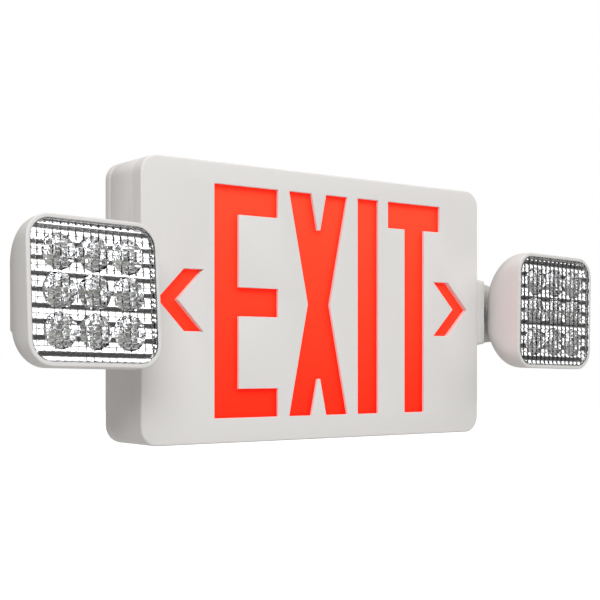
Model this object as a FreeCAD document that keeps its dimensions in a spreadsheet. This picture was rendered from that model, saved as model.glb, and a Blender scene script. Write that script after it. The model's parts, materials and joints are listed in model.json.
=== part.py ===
import FreeCAD, Part
import math
import os
import Sketcher

# Emergency exit light: a thermoplastic housing with a stencilled face and two adjustable lamp heads.
# Frame: millimetres, +Z up, -Y towards the viewer, origin at the centre of the wall face (Y = 0).
# A lamp head is modelled about its swivel centre: x to its right, y into the bowl, z up.

SIZES = {
    # housing
    "body_width": 292.7,
    "body_height": 183.0,
    "body_depth": 47.0,
    "corner_radius": 12.0,
    "face_edge_radius": 2.0,
    "cover_depth": 11.0,
    "back_depth": 7.3,
    "shell_wall": 2.5,
    "face_wall": 2.0,
    "back_wall": 2.2,
    "lip_wall": 1.5,
    "lip_length": 3.0,
    # stencil
    "legend_rise": 1.0,
    "letter_height": 152.4,
    "stroke": 19.05,
    "letter_gap": 9.2,
    "legend_left_margin": 54.0,
    "legend_right_margin": 39.65,
    "notch_flat": 2.28,
    "chevron_margin": 11.55,
    "chevron_width": 14.8,
    "chevron_run": 19.6,
    "chevron_rise": 20.0,
    "collar_wall": 1.5,
    "panel_recess": 2.0,
    # legend panel and light box
    "panel_side_margin": 7.35,
    "panel_top_margin": 8.5,
    "panel_thick": 1.5,
    "box_depth": 17.5,
    "box_wall": 1.6,
    "box_rim": 4.0,
    "strip_height": 9.0,
    "board_thick": 1.6,
    "led_size": 3.2,
    "led_height": 1.2,
    "strip_leds": 8,
    "strip_margin": 23.0,
    # back plate
    "wire_entry_radius": 11.1,
    "box_screw_spacing": 88.9,
    "box_screw_radius": 2.4,
    "wall_screw_radius": 2.5,
    "wall_screw_side_margin": 34.35,
    "wall_screw_top_margin": 23.5,
    "post_radius": 3.6,
    "post_side_margin": 24.35,
    "post_top_margin": 49.5,
    "boss_radius": 4.0,
    "boss_inset": 9.6,
    "screw_radius": 1.5,
    "screw_head_radius": 3.0,
    "screw_head": 2.0,
    "screw_length": 9.0,
    # driver board and battery
    "board_side_margin": 30.35,
    "board_width": 66.0,
    "board_height": 96.0,
    "board_lift": 5.0,
    "transformer_width": 30.0,
    "transformer_height": 25.0,
    "transformer_depth": 10.5,
    "cell_radius": 7.1,
    "cell_length": 66.0,
    "cell_count": 3,
    "battery_side_margin": 23.35,
    "strap_width": 12.0,
    "strap_thick": 1.2,
    "plug_length": 8.0,
    "lead_radius": 1.5,
    # test button and status lamp
    "button_side_margin": 84.35,
    "button_y": -21.0,
    "button_radius": 4.0,
    "button_flange": 5.4,
    "button_flange_thick": 1.2,
    "button_proud": 1.0,
    "button_travel": 1.6,
    "button_clearance": 0.3,
    "lamp_offset": 14.0,
    "lamp_radius": 2.5,
    # arms
    "swivel_reach": 48.85,
    "swivel_y": -66.7,
    "cup_radius": 44.8,
    "arm_front": 44.0,
    "arm_back": 2.0,
    "arm_base_half": 26.0,
    "arm_neck_half": 23.8,
    "arm_tip_half": 20.5,
    "arm_neck_length": 14.0,
    "arm_length": 66.65,
    "arm_edge_radius": 2.5,
    "arm_wall": 3.0,
    "arm_cavity_half": 17.6,
    "arm_cover_thick": 2.0,
    "arm_screw_z": 14.0,
    "lead_bore_radius": 6.0,
    # swivel
    "stud_angle": 75.0,
    "stud_radius": 5.0,
    "stud_bore": 2.6,
    "stud_clearance": 0.5,
    "slot_spare": 1.2,
    "pan_in": 25.0,
    "pan_out": 20.0,
    "tilt_limit": 20.0,
    "swivel_washer_radius": 9.0,
    "swivel_washer_gap": 1.0,
    "saddle_radius": 12.5,
    "saddle_thick": 3.0,
    "swivel_gap": 0.4,
    "spring_washer_radius": 8.6,
    "spring_washer_thick": 1.4,
    "nut_flats_radius": 7.8,
    "nut_thick": 4.6,
    "stud_head_radius": 7.5,
    "stud_head_thick": 3.0,
    # lamp head
    "head_half": 43.4,
    "head_band": 6.35,
    "bowl_depth": 49.0,
    "bowl_centre": 8.3,
    "head_wall": 2.5,
    "head_square": 0.35,
    "head_round_power": 1.7,
    "rim_width": 2.0,
    "lens_thick": 3.0,
    "lens_clearance": 0.2,
    "lens_proud": 0.5,
    "flute_pitch": 4.9,
    "flute_count": 16,
    "flute_depth": 0.9,
    "cup_pitch": 22.5,
    "cup_mouth": 10.8,
    "cup_base": 4.2,
    "reflector_thick": 15.0,
    "reflector_flange": 1.5,
    "cup_wall": 1.1,
    "head_board_inset": 7.0,
    "head_led_radius": 2.5,
    "head_led_height": 3.0,
    "head_screw_length": 7.0,
    # rest pose of the heads, degrees
    "head_pan": 2.6,
    "head_roll": 1.2,
    "left_tilt": -5.5,
    "right_tilt": 0.0,
}

DOC = FreeCAD.newDocument("ExitLight")


class Term:
    """A size worked out from the sheet: its expression text and its present value."""

    def __init__(self, text, value):
        self.text = text
        self.value = value

    @staticmethod
    def of(other):
        return other if isinstance(other, Term) else Term(repr(other), other)

    def join(self, sign, other, value):
        return Term(f"({self.text} {sign} {other.text})", value)

    def __add__(self, other):
        other = Term.of(other)
        return self.join("+", other, self.value + other.value)

    def __sub__(self, other):
        other = Term.of(other)
        return self.join("-", other, self.value - other.value)

    def __mul__(self, other):
        other = Term.of(other)
        return self.join("*", other, self.value * other.value)

    def __truediv__(self, other):
        other = Term.of(other)
        return self.join("/", other, self.value / other.value)

    def __radd__(self, other):
        return Term.of(other) + self

    def __rsub__(self, other):
        return Term.of(other) - self

    def __rmul__(self, other):
        return Term.of(other) * self

    def __neg__(self):
        return Term(f"(0 - {self.text})", -self.value)


def root(term):
    return Term(f"sqrt({term.text})", math.sqrt(term.value))


def cosine(term):
    return Term(f"cos({term.text})", math.cos(math.radians(term.value)))


def sine(term):
    return Term(f"sin({term.text})", math.sin(math.radians(term.value)))


def power(term, exponent):
    return Term(f"({term.text} ^ {exponent.text})", term.value ** exponent.value)


class Sheet:
    """The spreadsheet of driving sizes; its attributes are terms."""

    def __init__(self):
        cells = DOC.addObject("Spreadsheet::Sheet", "Sizes")
        for row, (name, value) in enumerate(SIZES.items(), start=1):
            cells.set(f"A{row}", name)
            cells.set(f"B{row}", repr(value))
            cells.setAlias(f"B{row}", name)
        DOC.recompute()

    def __getattr__(self, name):
        return Term(f"Sizes.{name}", SIZES[name])


S = Sheet()
NODES = []
ZERO = Term("0", 0.0)


def node(obj, label):
    """Names an object as a finished sub-part."""
    obj.Label = label
    NODES.append(obj)
    return obj


def place(obj, x=ZERO, y=ZERO, z=ZERO, yaw=ZERO, pitch=ZERO, roll=ZERO):
    """Binds an object's Placement to terms: a position and three turns."""
    x, y, z, yaw, pitch, roll = (Term.of(t) for t in (x, y, z, yaw, pitch, roll))
    turn = f"rotation({yaw.text}; {pitch.text}; {roll.text})"
    obj.setExpression("Placement", f"placement(vector({x.text}; {y.text}; {z.text}); {turn})")
    return obj


def bind(obj, **sizes):
    for name, term in sizes.items():
        obj.setExpression(name, Term.of(term).text)
    return obj


# ---------------------------------------------------------------- part primitives


def box(x0, x1, y0, y1, z0, z1):
    """A block between pairs of terms."""
    x0, x1, y0, y1, z0, z1 = (Term.of(t) for t in (x0, x1, y0, y1, z0, z1))
    block = DOC.addObject("Part::Box", "Block")
    bind(block, Length=x1 - x0, Width=y1 - y0, Height=z1 - z0)
    return place(block, x0, y0, z0)


AXIS_TURNS = {
    "+X": (0.0, 90.0, 0.0),
    "-X": (0.0, -90.0, 0.0),
    "+Y": (0.0, 0.0, -90.0),
    "-Y": (0.0, 0.0, 90.0),
    "+Z": (0.0, 0.0, 0.0),
    "-Z": (180.0, 180.0, 0.0),
}


def rod(axis, x, y, z, radius, length, top_radius=None):
    """A cylinder, or a cone if it has a top radius, from a point along an axis."""
    yaw, pitch, roll = AXIS_TURNS[axis]
    if top_radius is None:
        piece = DOC.addObject("Part::Cylinder", "Rod")
        bind(piece, Radius=radius, Height=length)
    else:
        piece = DOC.addObject("Part::Cone", "Taper")
        bind(piece, Radius1=radius, Radius2=top_radius, Height=length)
    return place(piece, x, y, z, yaw, pitch, roll)


def ball(x, y, z, radius):
    piece = DOC.addObject("Part::Sphere", "Ball")
    bind(piece, Radius=radius)
    return place(piece, x, y, z)


def fuse(*pieces):
    joined = DOC.addObject("Part::MultiFuse", "Joined")
    joined.Shapes = list(pieces)
    return joined


def cut(base, *tools):
    """The base less its tools."""
    result = DOC.addObject("Part::Cut", "Cutting")
    result.Base = base
    result.Tool = tools[0] if len(tools) == 1 else fuse(*tools)
    return result


def common(first, second):
    shared = DOC.addObject("Part::Common", "Shared")
    shared.Base = first
    shared.Tool = second
    return shared


def group(*pieces):
    """Separate like solids that make one sub-part."""
    joined = DOC.addObject("Part::Compound", "Group")
    joined.Links = list(pieces)
    return joined


# ---------------------------------------------------------------- bodies and sketches


def new_body():
    return DOC.addObject("PartDesign::Body", "Body")


def plane_of(body, role):
    return next(f for f in body.Origin.OriginFeatures if f.Role == role)


def new_sketch(body, role, offset=ZERO):
    """A sketch on one of the body's origin planes, moved along the plane's normal."""
    sketch = body.newObject("Sketcher::SketchObject", "Sketch")
    sketch.AttachmentSupport = [(plane_of(body, role), "")]
    sketch.MapMode = "FlatFace"
    sketch.setExpression("AttachmentOffset.Base.z", Term.of(offset).text)
    return sketch


def pin_point(sketch, geometry, end, x, y):
    """Holds a point of the sketch at two terms."""
    for kind, term in (("DistanceX", x), ("DistanceY", y)):
        index = sketch.addConstraint(Sketcher.Constraint(kind, -1, 1, geometry, end, term.value))
        name = f"{kind}_{index}"
        sketch.renameConstraint(index, name)
        sketch.setExpression(f"Constraints.{name}", term.text)


def polygon(sketch, points):
    """A closed outline whose corners are pairs of terms."""
    points = [(Term.of(x), Term.of(y)) for x, y in points]
    first = sketch.GeometryCount
    count = len(points)
    for i in range(count):
        ends = (points[i], points[(i + 1) % count])
        start, stop = (FreeCAD.Vector(x.value, y.value, 0) for x, y in ends)
        sketch.addGeometry(Part.LineSegment(start, stop), False)
    for i in range(count):
        following = first + (i + 1) % count
        sketch.addConstraint(Sketcher.Constraint("Coincident", first + i, 2, following, 1))
        pin_point(sketch, first + i, 1, *points[i])
    return sketch


def circle(sketch, x, y, radius):
    x, y, radius = (Term.of(t) for t in (x, y, radius))
    centre = FreeCAD.Vector(x.value, y.value, 0)
    index = sketch.addGeometry(Part.Circle(centre, FreeCAD.Vector(0, 0, 1), radius.value), False)
    pin_point(sketch, index, 3, x, y)
    rule = sketch.addConstraint(Sketcher.Constraint("Radius", index, radius.value))
    sketch.renameConstraint(rule, f"radius_{rule}")
    sketch.setExpression(f"Constraints.radius_{rule}", radius.text)
    return sketch


def rounded(sketch, half_x, half_y, radius, x=ZERO, y=ZERO):
    """A rectangle with round corners about a centre."""
    half_x, half_y, radius, x, y = (Term.of(t) for t in (half_x, half_y, radius, x, y))
    first = sketch.GeometryCount
    corners = ((1, 1, 0), (-1, 1, 90), (-1, -1, 180), (1, -1, 270))
    centres = [(x + sx * (half_x - radius), y + sy * (half_y - radius)) for sx, sy, _ in corners]
    for (cx, cy), (_, _, angle) in zip(centres, corners):
        arc = Part.ArcOfCircle(
            Part.Circle(FreeCAD.Vector(cx.value, cy.value, 0), FreeCAD.Vector(0, 0, 1), radius.value),
            math.radians(angle),
            math.radians(angle + 90),
        )
        sketch.addGeometry(arc, False)
    for i in range(4):
        (cx, cy), (nx, ny) = centres[i], centres[(i + 1) % 4]
        angle = math.radians(corners[i][2] + 90)
        reach = FreeCAD.Vector(math.cos(angle), math.sin(angle), 0) * radius.value
        start = FreeCAD.Vector(cx.value, cy.value, 0) + reach
        stop = FreeCAD.Vector(nx.value, ny.value, 0) + reach
        sketch.addGeometry(Part.LineSegment(start, stop), False)
    for i in range(4):
        arc, line, following = first + i, first + 4 + i, first + (i + 1) % 4
        sketch.addConstraint(Sketcher.Constraint("Tangent", arc, 2, line, 1))
        sketch.addConstraint(Sketcher.Constraint("Tangent", line, 2, following, 1))
        pin_point(sketch, arc, 3, *centres[i])
    rule = sketch.addConstraint(Sketcher.Constraint("Radius", first, radius.value))
    sketch.renameConstraint(rule, f"radius_{rule}")
    sketch.setExpression(f"Constraints.radius_{rule}", radius.text)
    return sketch


def feature(body, kind, profile, length, reverse=False, midplane=False):
    """A Pad or a Pocket of a sketch."""
    result = body.newObject(f"PartDesign::{kind}", kind)
    result.Profile = profile
    result.setExpression("Length", Term.of(length).text)
    result.Reversed = reverse
    result.Midplane = midplane
    body.Tip = result
    return result


def loft(body, kind, profiles):
    result = body.newObject(f"PartDesign::{kind}", kind)
    result.Profile = profiles[0]
    result.Sections = profiles[1:]
    body.Tip = result
    return result


def fillet(body, base, edges, radius):
    result = body.newObject("PartDesign::Fillet", "Fillet")
    result.Base = (base, edges)
    result.setExpression("Radius", Term.of(radius).text)
    body.Tip = result
    return result


def edges_where(shape, test):
    """The names of a shape's edges that pass a test."""
    return [f"Edge{i}" for i, edge in enumerate(shape.Edges, start=1) if test(edge)]


# ---------------------------------------------------------------- named places

HALF_W = S.body_width / 2
HALF_H = S.body_height / 2
FACE_Y = -S.body_depth
COVER_Y = FACE_Y + S.cover_depth
BACK_Y = -S.back_depth
PANEL_Y = FACE_Y + S.face_wall + S.panel_recess
BOX_Y = PANEL_Y + S.panel_thick
BOX_BACK_Y = BOX_Y + S.box_depth
PLATE_Y = -S.back_wall
BOARD_Y = PLATE_Y - S.board_lift
ARM_Y = -(S.arm_front + S.arm_back) / 2
SIDES = {"left": -1, "right": 1}
PANEL_HALF_W = HALF_W - S.panel_side_margin
PANEL_HALF_H = HALF_H - S.panel_top_margin
LEGEND_LEFT = S.legend_left_margin - HALF_W
LEGEND_RIGHT = HALF_W - S.legend_right_margin
LETTER_WIDTH = (LEGEND_RIGHT - LEGEND_LEFT - S.letter_gap * 3 - S.stroke) / 3
CHEVRON_TIP = HALF_W - S.chevron_margin
WALL_SCREW_X = HALF_W - S.wall_screw_side_margin
WALL_SCREW_Z = HALF_H - S.wall_screw_top_margin
POST_X = HALF_W - S.post_side_margin
POST_Z = HALF_H - S.post_top_margin
BOARD_X = HALF_W - S.board_side_margin - S.board_width / 2
BATTERY_X = S.battery_side_margin + S.cell_length / 2 - HALF_W
BUTTON_X = HALF_W - S.button_side_margin
SWIVEL_X = HALF_W + S.swivel_reach
ARM_TIP_X = HALF_W + S.arm_length


def upright(body, y):
    """A sketch facing the viewer at depth y; its axes are X and Z."""
    return new_sketch(body, "XZ_Plane", -y)


def shell_outline(body, y, inset=ZERO):
    """The housing's outline at depth y, drawn in by an inset."""
    inset = Term.of(inset)
    return rounded(upright(body, y), HALF_W - inset, HALF_H - inset, S.corner_radius - inset)


# ---------------------------------------------------------------- stencil outlines


def letter_e(x):
    """The outline of an E with three arms."""
    top = S.letter_height / 2
    arm = S.stroke / 2
    inner, outer = x + S.stroke, x + LETTER_WIDTH
    right = [
        (outer, -top),
        (outer, -top + S.stroke),
        (inner, -top + S.stroke),
        (inner, -arm),
        (outer, -arm),
        (outer, arm),
        (inner, arm),
        (inner, top - S.stroke),
        (outer, top - S.stroke),
        (outer, top),
    ]
    return [(x, -top), *right, (x, top)]


def letter_x(x):
    """The outline of an X: two leaning strokes whose upper and lower notches end flat."""
    top = S.letter_height / 2
    lean = (LETTER_WIDTH - S.stroke) / S.letter_height
    shift = (LETTER_WIDTH - S.stroke * 2 - S.notch_flat) / 2
    notch = top - shift / lean
    waist = (LETTER_WIDTH - S.stroke) / 2
    outer = x + LETTER_WIDTH
    return [
        (x, -top),
        (x + S.stroke, -top),
        (x + S.stroke + shift, -notch),
        (outer - S.stroke - shift, -notch),
        (outer - S.stroke, -top),
        (outer, -top),
        (outer - waist, ZERO),
        (outer, top),
        (outer - S.stroke, top),
        (outer - S.stroke - shift, notch),
        (x + S.stroke + shift, notch),
        (x + S.stroke, top),
        (x, top),
        (x + waist, ZERO),
    ]


def letter_i(x):
    top = S.letter_height / 2
    return [(x, -top), (x + S.stroke, -top), (x + S.stroke, top), (x, top)]


def letter_t(x):
    top = S.letter_height / 2
    bar = top - S.stroke
    stem = x + (LETTER_WIDTH - S.stroke) / 2
    return [
        (stem, -top),
        (stem + S.stroke, -top),
        (stem + S.stroke, bar),
        (x + LETTER_WIDTH, bar),
        (x + LETTER_WIDTH, top),
        (x, top),
        (x, bar),
        (stem, bar),
    ]


def chevron(side, grow=ZERO):
    """A direction arrow that points to one side, grown by a wall all round."""
    tip = CHEVRON_TIP + grow * 1.4
    tail = CHEVRON_TIP - S.chevron_run - grow * 0.4
    rise = S.chevron_rise + grow
    width = S.chevron_width + grow * 2.8
    points = [
        (tip, ZERO),
        (tail, rise),
        (tail - width, rise),
        (tip - width, ZERO),
        (tail - width, -rise),
        (tail, -rise),
    ]
    return [(side * x, z) for x, z in points]


def raised(outline):
    """A legend outline at its height on the face."""
    return [(x, z + S.legend_rise) for x, z in outline]


def legend_outlines():
    """The four letters in a row and the two arrows."""
    x = LEGEND_LEFT
    outlines = []
    for draw, width in (
        (letter_e, LETTER_WIDTH),
        (letter_x, LETTER_WIDTH),
        (letter_i, S.stroke),
        (letter_t, LETTER_WIDTH),
    ):
        outlines.append(draw(x))
        x = x + width + S.letter_gap
    return [raised(outline) for outline in outlines + [chevron(side) for side in SIDES.values()]]


# ---------------------------------------------------------------- housing


def front_cover():
    """The stencilled face: a shallow tray with a lip that plugs into the frame."""
    body = new_body()
    block = feature(body, "Pad", shell_outline(body, COVER_Y), S.cover_depth)
    DOC.recompute()
    front = edges_where(block.Shape, lambda e: abs(e.CenterOfMass.y - FACE_Y.value) < 0.01)
    fillet(body, block, front, S.face_edge_radius)
    hollow = S.cover_depth - S.face_wall
    feature(body, "Pocket", shell_outline(body, COVER_Y, S.shell_wall), hollow, reverse=True)
    lip = shell_outline(body, COVER_Y + S.lip_length, S.shell_wall)
    rounded(lip, *inset_sizes(S.shell_wall + S.lip_wall))
    feature(body, "Pad", lip, S.lip_length + S.shell_wall)
    for side in SIDES.values():
        collar = polygon(upright(body, PANEL_Y), raised(chevron(side, S.collar_wall)))
        feature(body, "Pad", collar, S.panel_recess + S.face_wall / 2)
    for z in (-1, 1):
        rib = upright(body, PANEL_Y)
        middle = z * (S.letter_height / 2 + S.collar_wall) + S.legend_rise
        half = S.letter_height / 2 + LETTER_WIDTH / 2
        polygon(rib, rectangle(-half, half, middle - S.collar_wall / 2, middle + S.collar_wall / 2))
        feature(body, "Pad", rib, S.panel_recess + S.face_wall / 2)
    for outline in legend_outlines():
        opening = polygon(upright(body, PANEL_Y), outline)
        feature(body, "Pocket", opening, S.face_wall + S.panel_recess, reverse=True)
    return node(body, "front_cover")


def inset_sizes(inset):
    return HALF_W - inset, HALF_H - inset, S.corner_radius - inset


def rectangle(x0, x1, z0, z1):
    return [(x0, z0), (x1, z0), (x1, z1), (x0, z1)]


def housing_frame():
    """The middle ring of the housing, with the arm, button and lamp openings and corner bosses."""
    body = new_body()
    ring = shell_outline(body, BACK_Y)
    rounded(ring, *inset_sizes(S.shell_wall))
    depth = BACK_Y - COVER_Y
    feature(body, "Pad", ring, depth)
    tools = []
    for side in SIDES.values():
        wall = side * (HALF_W - S.shell_wall - 1)
        axis = "+X" if side > 0 else "-X"
        reach = S.shell_wall + 2
        tools.append(rod(axis, wall, ARM_Y, ZERO, S.lead_bore_radius, reach))
        for z in (-1, 1):
            tools.append(rod(axis, wall, ARM_Y, z * S.arm_screw_z, S.screw_radius, reach))
    floor = -HALF_H - 1
    tools.append(rod("+Z", BUTTON_X, S.button_y, floor, S.button_radius + S.button_clearance, 5.0))
    tools.append(rod("+Z", BUTTON_X + S.lamp_offset, S.button_y, floor, S.lamp_radius, 5.0))
    bosses = []
    boss_x, boss_z = HALF_W - S.boss_inset, HALF_H - S.boss_inset
    boss_front = COVER_Y + S.lip_length + 2
    for sx in (-1, 1):
        for sz in (-1, 1):
            x, z = sx * boss_x, sz * boss_z
            bosses.append(rod("+Y", x, boss_front, z, S.boss_radius, BACK_Y - boss_front))
            web_back = BACK_Y - S.lip_length - 1
            bosses.append(box(x - 1, x + 1, boss_front, web_back, *span(sz, boss_z, HALF_H - 1)))
            hole_y = BACK_Y - S.screw_length + S.back_depth - S.back_wall
            tools.append(rod("+Y", x, hole_y, z, S.screw_radius, S.screw_length))
    return node(cut(fuse(body, *bosses), *tools), "housing_frame")


def span(sign, low, high):
    """An interval on one side of zero, in rising order."""
    return (low, high) if sign > 0 else (-high, -low)


def back_plate():
    """The wall side: a shallow tray with a lip, posts, wire entry and screw holes."""
    body = new_body()
    feature(body, "Pad", shell_outline(body, ZERO), S.back_depth)
    hollow = shell_outline(body, BACK_Y, S.shell_wall)
    feature(body, "Pocket", hollow, S.back_depth - S.back_wall)
    lip = shell_outline(body, BACK_Y + S.shell_wall, S.shell_wall)
    rounded(lip, *inset_sizes(S.shell_wall + S.lip_wall))
    feature(body, "Pad", lip, S.lip_length + S.shell_wall)
    posts = []
    through = S.back_wall + 2
    holes = [rod("+Y", ZERO, PLATE_Y - 1, ZERO, S.wire_entry_radius, through)]
    for sx in (-1, 1):
        x = sx * S.box_screw_spacing / 2
        holes.append(rod("+Y", x, PLATE_Y - 1, ZERO, S.box_screw_radius, through))
        for sz in (-1, 1):
            x, z = sx * WALL_SCREW_X, sz * WALL_SCREW_Z
            holes.append(rod("+Y", x, PLATE_Y - 1, z, S.wall_screw_radius, through))
            x, z = sx * (HALF_W - S.boss_inset), sz * (HALF_H - S.boss_inset)
            boss = rod("+Y", x, BACK_Y, z, S.boss_radius, S.back_depth - 1)
            posts.append(boss)
            holes.append(rod("+Y", x, BACK_Y - 1, z, S.screw_radius, S.back_depth + 2))
            holes.append(rod("+Y", x, -S.screw_head, z, S.screw_head_radius, S.screw_head + 1))
            x, z = sx * POST_X, sz * POST_Z
            posts.append(rod("+Y", x, BOX_BACK_Y, z, S.post_radius, -BOX_BACK_Y - S.back_wall / 2))
            holes.append(rod("+Y", x, BOX_BACK_Y - 1, z, S.screw_radius, S.screw_length))
    for x, z in board_corners():
        posts.append(rod("+Y", x, BOARD_Y, z, S.post_radius, S.board_lift + S.back_wall / 2))
        holes.append(rod("+Y", x, BOARD_Y - 1, z, S.screw_radius, S.board_lift))
    for z in strap_ends():
        posts.append(rod("+Y", BATTERY_X, STRAP_FOOT_Y, z, S.post_radius, -STRAP_FOOT_Y - S.back_wall / 2))
        holes.append(rod("+Y", BATTERY_X, STRAP_FOOT_Y - 1, z, S.screw_radius, S.board_lift))
    return node(cut(fuse(body, *posts), *holes), "back_plate")


def board_corners():
    x = S.board_width / 2 - S.post_radius
    z = S.board_height / 2 - S.post_radius
    return [(BOARD_X + sx * x, sz * z) for sx in (-1, 1) for sz in (-1, 1)]


PACK_HALF = S.cell_radius * S.cell_count
STRAP_FOOT_Y = PLATE_Y - S.board_lift


def strap_ends():
    reach = PACK_HALF + S.strap_thick + S.screw_head_radius + 0.2
    return (-reach, reach)


def frame_screws():
    """Screws that hold the back plate to the frame's bosses, driven from the wall side."""
    screws = []
    for sx in (-1, 1):
        for sz in (-1, 1):
            x, z = sx * (HALF_W - S.boss_inset), sz * (HALF_H - S.boss_inset)
            head = rod("-Y", x, ZERO, z, S.screw_head_radius, S.screw_head)
            shank = rod("-Y", x, ZERO, z, S.screw_radius, S.screw_length + S.screw_head)
            screws.append(fuse(head, shank))
    return node(group(*screws), "frame_screws")


def legend_panel():
    """The coloured sheet behind the stencil."""
    body = new_body()
    sheet = rounded(upright(body, BOX_Y), PANEL_HALF_W, PANEL_HALF_H, 3.0)
    feature(body, "Pad", sheet, S.panel_thick)
    return node(body, "legend_panel")


def light_box():
    """The white tray behind the legend panel, open to the front, with a rim that holds the panel."""
    body = new_body()
    half_x, half_z = PANEL_HALF_W, PANEL_HALF_H
    back = rounded(upright(body, BOX_BACK_Y), half_x - S.box_rim, half_z - S.box_rim, 3.0)
    feature(body, "Pad", back, S.box_depth)
    rim = rounded(upright(body, BOX_Y + S.box_wall), half_x, half_z, 3.0)
    feature(body, "Pad", rim, S.box_wall)
    inner = S.box_rim + S.box_wall
    hollow = rounded(upright(body, BOX_Y), half_x - inner, half_z - inner, 2.0)
    feature(body, "Pocket", hollow, S.box_depth - S.box_wall)
    holes = [
        rod("+Y", sx * POST_X, BOX_BACK_Y - S.box_wall - 1, sz * POST_Z, S.screw_radius, S.box_wall + 2)
        for sx in (-1, 1)
        for sz in (-1, 1)
    ]
    return node(cut(body, *holes), "light_box")


def screws_from_front(label, places, y, length):
    """A set of pan-head screws driven towards the wall, with their heads on depth y."""
    screws = []
    for x, z in places:
        head = rod("-Y", x, y, z, S.screw_head_radius, S.screw_head)
        shank = rod("+Y", x, y, z, S.screw_radius, length)
        screws.append(fuse(head, shank))
    return node(group(*screws), label)


def sign_leds():
    """An LED strip along the top and another along the bottom of the light box."""
    inner_z = PANEL_HALF_H - S.box_rim - S.box_wall
    half_x = PANEL_HALF_W - S.strip_margin
    pitch = half_x * 2 / S.strip_leds
    middle_y = BOX_Y + S.box_depth / 2
    y0, y1 = middle_y - S.strip_height / 2, middle_y + S.strip_height / 2
    for label, sign in (("top", 1), ("bottom", -1)):
        board = box(-half_x, half_x, y0, y1, *span(sign, inner_z - S.board_thick, inner_z))
        node(board, f"sign_led_board_{label}")
        chips = []
        for i in range(SIZES["strip_leds"]):
            x = -half_x + pitch * (i + 0.5)
            top = inner_z - S.board_thick
            half = S.led_size / 2
            z_span = span(sign, top - S.led_height, top)
            chips.append(box(x - half, x + half, middle_y - half, middle_y + half, *z_span))
        node(group(*chips), f"sign_leds_{label}")


# ---------------------------------------------------------------- electronics


def driver():
    """The charger and driver board with its parts on the front side."""
    half_x, half_z = S.board_width / 2, S.board_height / 2
    x0, x1 = BOARD_X - half_x, BOARD_X + half_x
    top = BOARD_Y - S.board_thick
    plate = box(x0, x1, top, BOARD_Y, -half_z, half_z)
    holes = [rod("+Y", x, top - 1, z, S.screw_radius, S.board_thick + 2) for x, z in board_corners()]
    node(cut(plate, *holes), "driver_board")
    core_x = BOARD_X + half_x / 4
    core_z = half_z / 3
    wide, high, deep = S.transformer_width, S.transformer_height, S.transformer_depth
    core = box(core_x - wide / 2, core_x + wide / 2, top - deep, top, core_z - high / 2, core_z + high / 2)
    coil = box(
        core_x - wide / 3,
        core_x + wide / 3,
        top - deep - 1.5,
        top,
        core_z - high / 2 - 3,
        core_z + high / 2 + 3,
    )
    node(fuse(core, coil), "transformer")
    cans = [rod("-Y", BOARD_X + x, top, -half_z / 2, 4.0, 11.0) for x in (-2.0, 9.0, 20.0)]
    node(group(*cans), "capacitors")
    relay_x = BOARD_X + half_x / 3
    node(box(relay_x - 8, relay_x + 8, top - 10, top, -half_z + 9, -half_z + 17), "relay")
    block_x = x0 + 6
    block = box(block_x - 4, block_x + 4, top - 9, top, -14, 14)
    mouths = [rod("+X", block_x - 5, top - 4.5, z, 1.8, 6.0) for z in (-9.0, 0.0, 9.0)]
    node(cut(block, *mouths), "terminal_block")
    screws_from_front("driver_board_screws", board_corners(), top, S.board_lift)


def battery():
    """A sealed pack of round cells side by side, under a strap."""
    body = new_body()
    outline = new_sketch(body, "XZ_Plane", ZERO)
    outline.setExpression("AttachmentOffset.Base.z", (-PLATE_Y).text)
    half = S.cell_length / 2
    polygon(outline, rectangle(BATTERY_X - half, BATTERY_X + half, -PACK_HALF, PACK_HALF))
    feature(body, "Pad", outline, S.cell_radius)
    cells = []
    for i in range(SIZES["cell_count"]):
        z = -PACK_HALF + S.cell_radius * (2 * i + 1)
        cells.append(rod("+X", BATTERY_X - half, PLATE_Y - S.cell_radius, z, S.cell_radius, S.cell_length))
    node(fuse(body, *cells), "battery_pack")
    strap()
    plug_x = BATTERY_X + half
    plug_y = PLATE_Y - S.cell_radius * 0.8
    node(box(plug_x, plug_x + S.plug_length, plug_y - 3.5, plug_y + 3.5, -6, 6), "battery_connector")


def strap():
    """A folded strap over the battery, screwed to two posts."""
    body = new_body()
    outline = new_sketch(body, "YZ_Plane", BATTERY_X - S.strap_width / 2)
    reach = strap_ends()[1] + S.post_radius
    front = PLATE_Y - S.cell_radius * 2
    thick = S.strap_thick
    foot = STRAP_FOOT_Y
    points = [
        (foot, -reach),
        (foot, -PACK_HALF),
        (front, -PACK_HALF),
        (front, PACK_HALF),
        (foot, PACK_HALF),
        (foot, reach),
        (foot - thick, reach),
        (foot - thick, PACK_HALF + thick),
        (front - thick, PACK_HALF + thick),
        (front - thick, -PACK_HALF - thick),
        (foot - thick, -PACK_HALF - thick),
        (foot - thick, -reach),
    ]
    polygon(outline, points)
    feature(body, "Pad", outline, S.strap_width)
    holes = [
        rod("+Y", BATTERY_X, foot - thick - 1, z, S.screw_radius, thick + 2) for z in strap_ends()
    ]
    node(cut(body, *holes), "battery_strap")
    places = [(BATTERY_X, z) for z in strap_ends()]
    screws_from_front("strap_screws", places, foot - thick, S.board_lift)


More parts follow.
